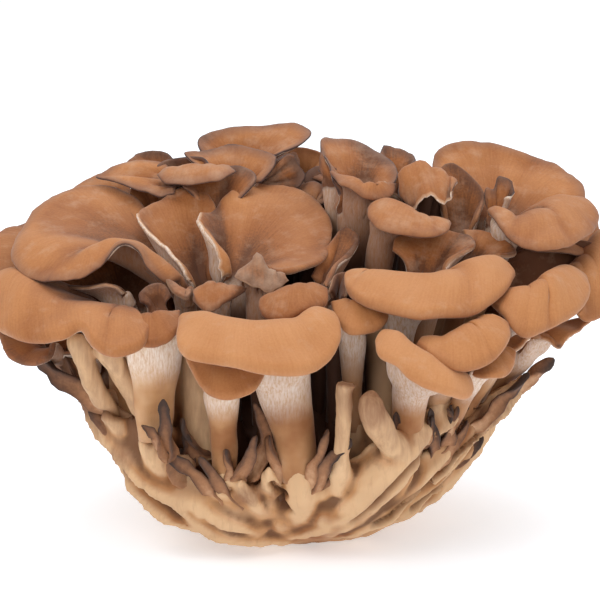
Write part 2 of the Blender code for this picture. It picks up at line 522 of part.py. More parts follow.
def stem_rings(frond, lateral, neck_way, stem_normal, across):
    """Rings of points up one stem, from its foot to its neck."""
    neck, foot = np.array(frond["neck"], float), np.array(frond["foot"], float)
    neck_width, neck_depth = frond["neck_size"]
    width, depth = frond["stem_size"]
    length = np.linalg.norm(neck - foot)
    foot_way = unit(unit(neck - foot) + np.array((0, 0, 0.4)))
    rings = []
    for t in np.linspace(0, 1, STEM_RINGS + 1)[:-1]:
        centre = hermite(foot, neck, foot_way * length, neck_way * length, t)
        ahead = hermite(foot, neck, foot_way * length, neck_way * length, t + 0.02)
        way = unit(ahead - centre)
        side = unit(lateral - way * (lateral @ way))
        face = unit(np.cross(side, way))
        if face @ stem_normal < 0:
            face = -face
        foot_flare, neck_flare = 1 - ease(t / 0.35), ease((t - 0.45) / 0.55)
        wide = width * (1 + 0.4 * foot_flare) + (neck_width - width) * neck_flare
        deep = depth * (1 + 0.4 * foot_flare) + (neck_depth - depth) * neck_flare
        sideways = side * (across * wide / 2)[:, None]
        bulge = face * (np.sqrt(1 - across**2) * deep / 2)[:, None]
        front, back = centre + sideways + bulge, centre + sideways - bulge
        rings.append(np.concatenate([front, back[-2:0:-1]]))
    return np.array(rings)


def loft(shape, rings):
    """Skins closed rings of points, starting from a circle and extruding its edge ring by ring."""
    count = len(rings[0])
    made = bmesh.ops.create_circle(shape, cap_ends=True, segments=count, radius=MM)
    ring = made["verts"]
    for vertex, point in zip(ring, rings[0]):
        vertex.co = Vector(point) * MM
    for points in rings[1:]:
        edges = [shape.edges.get((ring[i], ring[(i + 1) % count])) for i in range(count)]
        grown = bmesh.ops.extrude_edge_only(shape, edges=edges)
        fresh = {item for item in grown["geom"] if isinstance(item, bmesh.types.BMVert)}
        ring = [next(edge.other_vert(vertex) for edge in vertex.link_edges
                     if edge.other_vert(vertex) in fresh) for vertex in ring]
        for vertex, point in zip(ring, points):
            vertex.co = Vector(point) * MM
    bmesh.ops.contextual_create(shape, geom=ring)


def add_frond(shape, frond, seed):
    """One frond: a stem that widens into its cap, and the limb that carries it on the base."""
    cap, lateral, neck_way, stem_normal, across = cap_rings(frond, seed)
    stem = stem_rings(frond, lateral, neck_way, stem_normal, across)
    loft(shape, np.concatenate([stem, cap[:-1]]))
    foot = Vector(frond["foot"])
    radius = frond["stem_size"][0] / 2 + 1
    root = Vector((foot.x * LIMB_ROOT_REACH, foot.y * LIMB_ROOT_REACH, LIMB_ROOT_HEIGHT))
    middle = foot.lerp(root, 0.5) + Vector((foot.x, foot.y, 0)) * 0.06
    add_tube(shape, [(*(foot + Vector((0, 0, 4))), radius), (*middle, radius + 1.5),
                     (*root, LIMB_ROOT_RADIUS)])


def add_tube(shape, stations, sides=12, steps=4):
    """A tapered round growth through stations of (x, y, z, radius), with a rounded tip."""
    stations = np.array(stations, float)
    line = spline(stations, np.linspace(0, len(stations) - 1, (len(stations) - 1) * steps + 1))
    points, radii = line[:, :3], line[:, 3]
    ways = unit(np.gradient(points, axis=0))
    side = unit(np.cross(ways[0], (0.3, 0.9, 0.2)))
    angles = np.arange(sides) / sides * math.tau
    rings = []
    for point, radius, way in zip(points, radii, ways):
        side = unit(side - way * (side @ way))
        other = np.cross(way, side)
        rings.append(point + radius * (np.cos(angles)[:, None] * side
                                       + np.sin(angles)[:, None] * other))
    tip = [points[0] + (rings[0] - points[0]) * 0.6 - ways[0] * radii[0] * 0.7]
    loft(shape, tip + rings)


def add_base(shape):
    """The bowl-shaped base: its profile spun round, then swollen into lumps."""
    first = len(shape.verts)
    profile = [(0, FOOT_LEVEL), *BASE_PROFILE, (0, BASE_TOP)]
    verts = [shape.verts.new(Vector((radius, 0, height)) * MM) for radius, height in profile]
    edges = [shape.edges.new(pair) for pair in zip(verts, verts[1:])]
    bmesh.ops.spin(shape, geom=verts + edges, cent=(0, 0, 0), axis=(0, 0, 1),
                   angle=math.tau, steps=48, use_merge=True)
    shape.verts.ensure_lookup_table()
    for vertex in shape.verts[first:]:
        if vertex.co.z > 1 * MM:
            swell = noise.noise(vertex.co / (18 * MM)) * BASE_LUMPS * MM
            outward = Vector((vertex.co.x, vertex.co.y, 0))
            vertex.co += outward.normalized() * swell


def fuse(source, voxel):
    """The one closed skin round every growth in a mesh, without the hollows inside it."""
    holder = bpy.data.objects.new("growths", source)
    bpy.context.collection.objects.link(holder)
    remesh = holder.modifiers.new("Fuse", "REMESH")
    remesh.mode = "VOXEL"
    remesh.voxel_size = voxel * MM
    graph = bpy.context.evaluated_depsgraph_get()
    skin = bpy.data.meshes.new_from_object(holder.evaluated_get(graph))
    bpy.data.objects.remove(holder)
    return skin


def outer_skin(shape):
    """Deletes every loose shell except the largest."""
    shape.verts.ensure_lookup_table()
    waiting, shells = set(shape.verts), []
    while waiting:
        shell, edge = set(), [waiting.pop()]
        while edge:
            vertex = edge.pop()
            shell.add(vertex)
            for link in vertex.link_edges:
                other = link.other_vert(vertex)
                if other in waiting:
                    waiting.remove(other)
                    edge.append(other)
        shells.append(shell)
    largest = max(shells, key=len)
    loose = [vertex for shell in shells if shell is not largest for vertex in shell]
    bmesh.ops.delete(shape, geom=loose, context="VERTS")


def cut_foot(shape):
    """Slices the underside off flat, as the knife leaves it, and closes the cut."""
    everything = list(shape.verts) + list(shape.edges) + list(shape.faces)
    cut = bmesh.ops.bisect_plane(shape, geom=everything, plane_co=(0, 0, 0),
                                 plane_no=(0, 0, -1), clear_outer=True)
    edges = [item for item in cut["geom_cut"] if isinstance(item, bmesh.types.BMEdge)]
    bmesh.ops.contextual_create(shape, geom=edges)


def principled(name, colour, roughness):
    """A plain material with the flesh's colour."""
    material = bpy.data.materials.new(name)
    material.use_nodes = True
    shader = material.node_tree.nodes["Principled BSDF"]
    shader.inputs["Base Color"].default_value = (*colour, 1)
    shader.inputs["Roughness"].default_value = roughness
    shader.inputs["Metallic"].default_value = 0
    return material


def build():
    for item in list(bpy.data.objects):
        bpy.data.objects.remove(item)

    shape = bmesh.new()
    fronds = dict(FRONDS)
    fronds.update({name: ring_frond(*sizes) for name, sizes in RING_FRONDS.items()})
    for seed, frond in enumerate(fronds.values()):
        add_frond(shape, frond, seed)
    for stations in FINGERS.values():
        add_tube(shape, stations)
    add_base(shape)
    bmesh.ops.remove_doubles(shape, verts=shape.verts, dist=1e-6)
    bmesh.ops.recalc_face_normals(shape, faces=shape.faces)
    growths = bpy.data.meshes.new("growths")
    shape.to_mesh(growths)
    shape.free()

    skin = fuse(growths, VOXEL)
    shape = bmesh.new()
    shape.from_mesh(skin)
    outer_skin(shape)
    bmesh.ops.translate(shape, verts=shape.verts, vec=(0, 0, -0.6 * MM))
    cut_foot(shape)
    bmesh.ops.triangulate(shape, faces=shape.faces)
    shape.to_mesh(skin)
    shape.free()

    cluster = bpy.data.objects.new("maitake_cluster", skin)
    bpy.context.collection.objects.link(cluster)
    skin.materials.clear()
    skin.materials.append(principled("maitake flesh", (0.47, 0.22, 0.10), 0.75))
    skin.shade_smooth()
    thin = cluster.modifiers.new("Fewer faces", "DECIMATE")
    thin.ratio = TRIANGLES / len(skin.polygons)


build()
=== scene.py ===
import json
import math
import random

import bmesh
import bpy
import numpy as np
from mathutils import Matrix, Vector, noise


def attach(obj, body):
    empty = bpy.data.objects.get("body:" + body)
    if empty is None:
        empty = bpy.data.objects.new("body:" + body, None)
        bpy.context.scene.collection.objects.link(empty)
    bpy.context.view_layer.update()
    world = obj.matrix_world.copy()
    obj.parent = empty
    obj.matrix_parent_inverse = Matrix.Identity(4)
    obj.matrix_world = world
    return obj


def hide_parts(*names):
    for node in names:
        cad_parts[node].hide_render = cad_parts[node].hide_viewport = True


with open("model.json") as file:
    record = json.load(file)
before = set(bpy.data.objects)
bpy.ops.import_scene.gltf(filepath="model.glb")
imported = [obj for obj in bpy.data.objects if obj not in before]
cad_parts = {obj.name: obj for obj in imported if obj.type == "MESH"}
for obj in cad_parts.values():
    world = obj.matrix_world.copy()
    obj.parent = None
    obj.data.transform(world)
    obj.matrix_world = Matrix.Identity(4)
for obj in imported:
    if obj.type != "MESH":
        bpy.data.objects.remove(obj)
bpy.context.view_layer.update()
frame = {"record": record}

# A whole maitake mushroom cluster: its caps on their stems, the base that carries them and the small
# unopened growths on it. Lengths are in millimetres and become metres where a mesh is made. Across a
# cap, places run from -1 at its left end to 1 at its right end, and from 0 at its neck to 1 at its rim.
clusterNode = frame["record"]["subparts"][0]["node"]
mm = 0.001
scene = bpy.context.scene


def hexColour(code):
    parts = [int(code[start:start + 2], 16) / 255 for start in (1, 3, 5)]
    linear = [part / 12.92 if part <= 0.04045 else ((part + 0.055) / 1.055) ** 2.4 for part in parts]
    return (*linear, 1)


def addNode(material, name, kind, settings=None, links=None):
    # adds a shader node. settings go to its sockets, its properties or its colour stops; links give
    # the node and the output that feed a socket
    nodes = material.node_tree.nodes
    node = nodes.new("ShaderNode" + kind)
    node.name = name
    for key, value in (settings or {}).items():
        if key == "stops":
            elements = node.color_ramp.elements
            for element, (position, code) in zip((elements[0], elements[1]), (value[0], value[-1])):
                element.position, element.color = position, hexColour(code)
            for position, code in value[1:-1]:
                elements.new(position).color = hexColour(code)
        elif isinstance(key, int) or key in node.inputs:
            colour = isinstance(value, str) and value.startswith("#")
            node.inputs[key].default_value = hexColour(value) if colour else value
        else:
            setattr(node, key, value)
    for key, (source, output) in (links or {}).items():
        material.node_tree.links.new(nodes[source].outputs[output], node.inputs[key])
    return node


def newMaterial(name):
    material = bpy.data.materials.new(name)
    material.use_nodes = True
    material.node_tree.nodes.clear()
    return material


def unit(vectors):
    vectors = np.asarray(vectors, float)
    return vectors / np.maximum(np.linalg.norm(vectors, axis=-1, keepdims=True), 1e-9)


def ease(value):
    value = np.clip(value, 0, 1)
    return value * value * (3 - 2 * value)


def spline(points, where):
    # reads a smooth curve through the points, at places counted in points
    points = np.asarray(points, float)
    padded = np.vstack([2 * points[0] - points[1], points, 2 * points[-1] - points[-2]])
    start = np.clip(np.floor(where).astype(int), 0, len(points) - 2)
    along = (where - start)[:, None]
    a, b, c, d = padded[start], padded[start + 1], padded[start + 2], padded[start + 3]
    return 0.5 * (2 * b + (c - a) * along + (2 * a - 5 * b + 4 * c - d) * along**2
                  + (3 * b - a - 3 * c + d) * along**3)


def hermite(start, end, leave, arrive, along):
    return ((2 * along**3 - 3 * along**2 + 1) * start + (along**3 - 2 * along**2 + along) * leave
            + (3 * along**2 - 2 * along**3) * end + (along**3 - along**2) * arrive)


def lumps(points, size, seed):
    # smooth noise between about -1 and 1, its lumps about size millimetres apart
    shift = Vector((seed * 7.3, seed * 3.1, seed * 5.7))
    flat = [noise.noise(Vector(point / size) + shift) for point in points.reshape(-1, 3)]
    return np.array(flat).reshape(points.shape[:-1])


def skinRings(shape, rings, closeEnd):
    # skins rings of points from a circle, extruding its edge ring by ring; returns the vertices
    count = len(rings[0])
    ring = bmesh.ops.create_circle(shape, cap_ends=True, segments=count, radius=mm)["verts"]
    made = [ring]
    for points in rings[1:]:
        edges = [shape.edges.get((ring[i], ring[(i + 1) % count])) for i in range(count)]
        grown = bmesh.ops.extrude_edge_only(shape, edges=edges)
        fresh = {item for item in grown["geom"] if isinstance(item, bmesh.types.BMVert)}
        ring = [next(edge.other_vert(vertex) for edge in vertex.link_edges
                     if edge.other_vert(vertex) in fresh) for vertex in ring]
        made.append(ring)
    for ring, points in zip(made, rings):
        for vertex, point in zip(ring, points):
            vertex.co = Vector(point) * mm
    if closeEnd:
        bmesh.ops.contextual_create(shape, geom=made[-1])
    return made


def finishPiece(name, shape, material):
    # turns a bmesh into a piece that rides on the root body in place of the CAD solid
    mesh = bpy.data.meshes.new(name)
    shape.to_mesh(mesh)
    shape.free()
    mesh.shade_smooth()
    mesh.materials.append(material)
    piece = bpy.data.objects.new(name, mesh)
    scene.collection.objects.link(piece)
    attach(piece, "root")
    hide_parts(clusterNode)
    return piece


# Pale maitake flesh, as grown: cream where it is dense, tan where it has dried, with brown stains.
# It gives the stems and the base one soft, unglossy surface.
fleshLook = {
    "flesh": [(0.3, "#CCA27B"), (0.48, "#B9885B"), (0.66, "#96623A")],
    # the crease colour is painted shade in creases and pits, the ridge colour a painted highlight on
    # ridges, and the deep colour painted shade inside the cluster, in the grooves and beneath rolled caps
    "stain": "#855232", "creaseShade": "#512D17", "ridgeHighlight": "#DAB68E", "deep": "#4E3122",
    "dried": "#845A40",
    "patchSize": 17, "stainSpacing": 2.6, "strandSpacing": 2.2,     # mm
    "roughness": 0.6, "scatter": 0.08, "scatterDepth": 1.5,     # mm that light travels inside
}

# Maitake cap: a velvety brown skin over a layer of fine cream pores that runs down the stem. The
# skin gives soft painted shade in its hollows and near its neck, with faint radial fibres; the pores
# give a matt, finely netted cream.
capLook = {
    "skin": [(0.23, "#C48A5A"), (0.52, "#B37747"), (0.8, "#965B30"), (1.0, "#62391F")],
    "bloom": "#C9A78C", "greyed": "#7A5D50",    # pale dust on the skin, and skin greyed near a margin
    "margin": [(0.1, "#C39A7A"), (0.3, "#8A5F43"), (0.5, "#5F4234"), (0.8, "#3B2F31")],
    "pores": [(0.34, "#F6E8DC"), (0.5, "#E9D2BD"), (0.66, "#D6B392")],
    # poresBrown: partly the pores' own browning, partly painted shade beneath the caps
    "poresBrown": "#84512E",
    "fibreSpacing": 0.9,        # mm between the skin's radial fibres
    "mottleSize": 20, "patchSize": 7, "speckSize": 0.8,     # mm, of the marks in the skin
    "poreSpacing": 0.7,         # mm between pores, somewhat over the real spacing so that they show
    "poreLength": 5,            # how many times as long as wide the pores are drawn, down the stem
    "roughness": 0.62,
    "velvet": 0.13,             # sheen of the fine hairs on the skin
}


def addFleshColour(material):
    # the nodes for pale flesh, up to the one named fleshColour
    addNode(material, "broad", "TexNoise", {"Scale": 1 / (fleshLook["patchSize"] * mm), "Detail": 3.0},
            {"Vector": ("place", "Object")})
    addNode(material, "fine", "TexNoise", {"Scale": 1 / (fleshLook["stainSpacing"] * mm),
            "Detail": 4.0, "Roughness": 0.6}, {"Vector": ("place", "Object")})
    addNode(material, "dense", "ValToRGB", {"stops": fleshLook["flesh"]}, {"Fac": ("broad", "Fac")})
    addNode(material, "spots", "MapRange", {"From Min": 0.6, "From Max": 0.85, "To Max": 0.5},
            {"Value": ("fine", "Fac")})
    addNode(material, "fleshColour", "Mix", {"data_type": "RGBA", 7: fleshLook["stain"]},
            {0: ("spots", "Result"), 6: ("dense", "Color")})


def addFleshSurface(material, colour, height, relief, roughness, velvet=0.0):
    # the nodes for a soft surface of one colour and one relief; the deep attribute darkens it towards the
    # deep colour as painted shade
    addNode(material, "shaded", "Mix", {"data_type": "RGBA", 7: fleshLook["deep"]},
            {0: ("deep", "Fac"), 6: colour})
    addNode(material, "bump", "Bump", {"Strength": 0.4, "Distance": relief * mm}, {"Height": height})
    addNode(material, "surface", "BsdfPrincipled",
            {"Roughness": roughness, "IOR": 1.4, "Specular IOR Level": 0.3, "Sheen Weight": velvet,
             "Subsurface Weight": fleshLook["scatter"], "Subsurface Radius": (1.0, 0.5, 0.3),
             "Subsurface Scale": fleshLook["scatterDepth"] * mm},
            {"Base Color": ("shaded", 2), "Normal": ("bump", "Normal")})
    addNode(material, "output", "OutputMaterial", {}, {"Surface": ("surface", "BSDF")})


def makeCapFlesh():
    look, flesh = capLook, newMaterial("maitakeCapFlesh")
    addNode(flesh, "place", "TexCoord")
    addNode(flesh, "flow", "UVMap", {"uv_map": "flow"})
    for name in ("inset", "bare", "stem", "shade", "greyRim", "brown", "bloom", "deep"):
        addNode(flesh, name, "Attribute", {"attribute_name": name})
    fibre, pore = 1 / (look["fibreSpacing"] * mm), 1 / (look["poreSpacing"] * mm)

    # skin: its tone and painted shade from the shape, mottled and fibrous, with a thin dark margin
    addNode(flesh, "mottle", "TexNoise", {"Scale": 1 / (look["mottleSize"] * mm)},
            {"Vector": ("place", "Object")})
    addNode(flesh, "fibreWay", "Mapping", {"Scale": (fibre, fibre * 0.07, 1)}, {"Vector": ("flow", "UV")})
    addNode(flesh, "fibres", "TexNoise", {"Scale": 1.0, "Detail": 3.0, "Roughness": 0.6},
            {"Vector": ("fibreWay", "Vector")})
    addNode(flesh, "mottledShade", "Math", {"operation": "MULTIPLY_ADD", 1: 0.2},
            {0: ("mottle", "Fac"), 2: ("shade", "Fac")})
    addNode(flesh, "skinShade", "Math", {"operation": "MULTIPLY_ADD", 1: 0.24},
            {0: ("fibres", "Fac"), 2: ("mottledShade", "Value")})
    addNode(flesh, "speckle", "TexNoise", {"Scale": 1 / (look["speckSize"] * mm), "Detail": 3.0},
            {"Vector": ("place", "Object")})
    addNode(flesh, "grainedShade", "Math", {"operation": "MULTIPLY_ADD", 1: 0.24},
            {0: ("speckle", "Fac"), 2: ("skinShade", "Value")})
    addNode(flesh, "skin", "ValToRGB", {"stops": look["skin"]}, {"Fac": ("grainedShade", "Value")})
    addNode(flesh, "velvet", "TexNoise",
            {"Scale": 1 / (look["patchSize"] * mm), "Detail": 6.0, "Roughness": 0.65},
            {"Vector": ("place", "Object")})
    addNode(flesh, "bloomed", "Math", {"operation": "MULTIPLY_ADD", 1: 0.9},
            {0: ("bloom", "Fac"), 2: ("velvet", "Fac")})
    addNode(flesh, "bloomPatches", "MapRange", {"From Min": 0.56, "From Max": 1.1, "To Max": 0.7},
            {"Value": ("bloomed", "Value")})
    addNode(flesh, "bloomedSkin", "Mix", {"data_type": "RGBA", 7: look["bloom"]},
            {0: ("bloomPatches", "Result"), 6: ("skin", "Color")})
    addNode(flesh, "wavyInset", "Math", {"operation": "MULTIPLY_ADD", 1: 1.6},
            {0: ("velvet", "Fac"), 2: ("inset", "Fac")})
    addNode(flesh, "nearRim", "MapRange", {"From Min": 7.0, "From Max": 1.5, "To Max": 0.75},
            {"Value": ("wavyInset", "Value")})
    addNode(flesh, "greyness", "Math", {"operation": "MULTIPLY"},
            {0: ("nearRim", "Result"), 1: ("greyRim", "Fac")})
    addNode(flesh, "greyedSkin", "Mix", {"data_type": "RGBA", 7: look["greyed"]},
            {0: ("greyness", "Value"), 6: ("bloomedSkin", 2)})
    addNode(flesh, "rimLine", "MapRange", {"From Min": 2.1, "From Max": 1.2, "To Max": 0.9},
            {"Value": ("wavyInset", "Value")})
    addNode(flesh, "margin", "ValToRGB", {"stops": look["margin"]}, {"Fac": ("greyRim", "Fac")})
    addNode(flesh, "edgedSkin", "Mix", {"data_type": "RGBA"},
            {0: ("rimLine", "Result"), 6: ("greyedSkin", 2), 7: ("margin", "Color")})
    addNode(flesh, "pastMargin", "MapRange", {"From Min": 0.95, "From Max": 0.65},
            {"Value": ("wavyInset", "Value")})
    addNode(flesh, "under", "Math", {"operation": "MAXIMUM"},
            {0: ("pastMargin", "Result"), 1: ("bare", "Fac")})

    # beneath: pores drawn out into a net down the stem, which turns to plain flesh lower down
    addNode(flesh, "netWay", "Mapping", {"Scale": (pore, pore, pore / look["poreLength"])},
            {"Vector": ("place", "Object")})
    addNode(flesh, "net", "TexNoise", {"Scale": 1.0, "Detail": 3.0, "Roughness": 0.7},
            {"Vector": ("netWay", "Vector")})
    addNode(flesh, "pores", "ValToRGB", {"stops": look["pores"]}, {"Fac": ("net", "Fac")})
    addFleshColour(flesh)
    addNode(flesh, "grown", "Mix", {"data_type": "RGBA"},
            {0: ("stem", "Fac"), 6: ("pores", "Color"), 7: ("fleshColour", 2)})
    # the brown attribute browns the pores away from the rim and on the bare stem: partly their own
    # browning, partly painted shade beneath the caps
    addNode(flesh, "awayFromRim", "MapRange", {"From Min": 0.0, "From Max": -1.1, "To Min": 0.3},
            {"Value": ("wavyInset", "Value")})
    addNode(flesh, "browned", "Math", {"operation": "MAXIMUM"},
            {0: ("awayFromRim", "Result"), 1: ("bare", "Fac")})
    addNode(flesh, "brownHere", "Math", {"operation": "MULTIPLY"},
            {0: ("browned", "Value"), 1: ("brown", "Fac")})
    addNode(flesh, "beneath", "Mix", {"data_type": "RGBA", 7: look["poresBrown"]},
            {0: ("brownHere", "Value"), 6: ("grown", 2)})
    addNode(flesh, "whole", "Mix", {"data_type": "RGBA"},
            {0: ("under", "Value"), 6: ("edgedSkin", 2), 7: ("beneath", 2)})

    addNode(flesh, "relief", "Mix", {"data_type": "FLOAT"},
            {0: ("under", "Value"), 2: ("fibres", "Fac"), 3: ("net", "Fac")})
    addFleshSurface(flesh, ("whole", 2), ("relief", 0), -0.25, look["roughness"], look["velvet"])
    return flesh


def makeBaseFlesh():
    flesh, strand = newMaterial("maitakeBaseFlesh"), 1 / (fleshLook["strandSpacing"] * mm)
    addNode(flesh, "place", "TexCoord")
    for name in ("fold", "dried", "deep"):
        addNode(flesh, name, "Attribute", {"attribute_name": name})
    addFleshColour(flesh)
    # painted shade in the creases and a painted highlight on the ridges, from the fold attribute
    addNode(flesh, "inCrease", "MapRange", {"From Min": 0.1, "From Max": 1.0, "To Max": 0.8},
            {"Value": ("fold", "Fac")})
    addNode(flesh, "creased", "Mix", {"data_type": "RGBA", 7: fleshLook["creaseShade"]},
            {0: ("inCrease", "Result"), 6: ("fleshColour", 2)})
    addNode(flesh, "onRidge", "MapRange", {"From Min": 0.0, "From Max": -1.0, "To Max": 0.7},
            {"Value": ("fold", "Fac")})
    addNode(flesh, "ridged", "Mix", {"data_type": "RGBA", 7: fleshLook["ridgeHighlight"]},
            {0: ("onRidge", "Result"), 6: ("creased", 2)})
    addNode(flesh, "strandWay", "Mapping", {"Scale": (strand, strand, strand * 0.16)},
            {"Vector": ("place", "Object")})
    addNode(flesh, "strands", "TexNoise", {"Scale": 1.0, "Detail": 4.0, "Roughness": 0.6},
            {"Vector": ("strandWay", "Vector")})
    addNode(flesh, "wornStrands", "Math", {"operation": "MULTIPLY_ADD", 1: 1.1},
            {0: ("strands", "Fac"), 2: ("dried", "Fac")})
    addNode(flesh, "driedAmount", "MapRange", {"From Min": 0.62, "From Max": 1.45, "To Max": 0.9},
            {"Value": ("wornStrands", "Value")})
    addNode(flesh, "aged", "Mix", {"data_type": "RGBA", 7: fleshLook["dried"]},
            {0: ("driedAmount", "Result"), 6: ("ridged", 2)})
    addFleshSurface(flesh, ("aged", 2), ("strands", "Fac"), 0.5, fleshLook["roughness"])
    return flesh


# Unopened growths: small forked blades of the same flesh, whose tips dried brown-black in growing.
forkLook = {
    "stops": [(0.34, "#CBA07C"), (0.58, "#9C6E4D"), (0.8, "#6B4935"), (1.0, "#403029")],
    "stainSpacing": 2, "roughness": 0.6,        # mm
}


def makeForkFlesh():
    flesh = newMaterial("maitakeDriedTips")
    addNode(flesh, "place", "TexCoord")
    for name in ("tip", "deep"):
        addNode(flesh, name, "Attribute", {"attribute_name": name})
    addNode(flesh, "fine", "TexNoise", {"Scale": 1 / (forkLook["stainSpacing"] * mm),
            "Detail": 4.0, "Roughness": 0.6}, {"Vector": ("place", "Object")})
    addNode(flesh, "along", "Math", {"operation": "MULTIPLY_ADD", 1: 0.3},
            {0: ("fine", "Fac"), 2: ("tip", "Fac")})
    addNode(flesh, "dried", "ValToRGB", {"stops": forkLook["stops"]}, {"Fac": ("along", "Value")})
    addFleshSurface(flesh, ("dried", "Color"), ("fine", "Fac"), 0.4, forkLook["roughness"])
    return flesh


def howDeep(points):
    # 0 on the outside of the cluster and 1 far inside it, between the stems; points in mm. It sets how far
    # painted shade darkens a surface there
    x, y, z = points[..., 0], points[..., 1], points[..., 2]
    crownHeight = 90 + 50 * ease((y + 95) / 140) - 0.0016 * x**2 - 45 * np.clip((y - 45) / 60, 0, 1)**2
    wall = 38 + 22 * ease((z - 10) / 30)
    return ease((crownHeight - z - 9) / 20) * ease((wall - np.hypot(x, y)) / 18)


# The caps that face the front. rim is a cap's margin and crown its highest line, both from its left end
# to its right end. Without a crown, reach is how far out that line lies, as a share of the way from neck
# to rim, and lift is how many millimetres it rises. foot is the stem's lower end, stemSize its width and
# depth, and neck and neckSize say where and how wide it runs into the cap. thick is the cap's thickness
# and edge that of its margin. tone is 0 for a light skin and 1 for a dark one; it holds the cap's own
# colour together with painted shade on caps that lie in shadow inside the cluster. brown is the same for
# the flesh beneath, partly its own browning and partly painted shade under the caps; it is browner the
# higher a cap stands if it isn't given.
# capDefaults holds the values that most caps share.
capDefaults = {
    "reach": 0.6, "lift": 1,
    "skinSide": (0, 0, 1),      # the way the skin faces: up, or outwards on a leaf that stands upright
    "greyRim": 0.15,            # how much the margin has darkened, up to 1
    "bloom": 0,                 # how much pale dust lies on the skin
    "insideShade": 1,                 # how much painted shade darkens the cap inside the cluster
    "shadow": 0,                # how dark the painted shadow is beneath, where it rolls into a tube
    "ruffle": 1.2,              # how ragged and wavy the margin is
    "faceSize": 1.35,           # mm, about the side of one face
    "torn": (2, 2),             # from where to where, between -1 and 1, the margin is torn; here nowhere
    "furrows": [],              # (place between -1 and 1, width, depth in mm) of each radial furrow
}
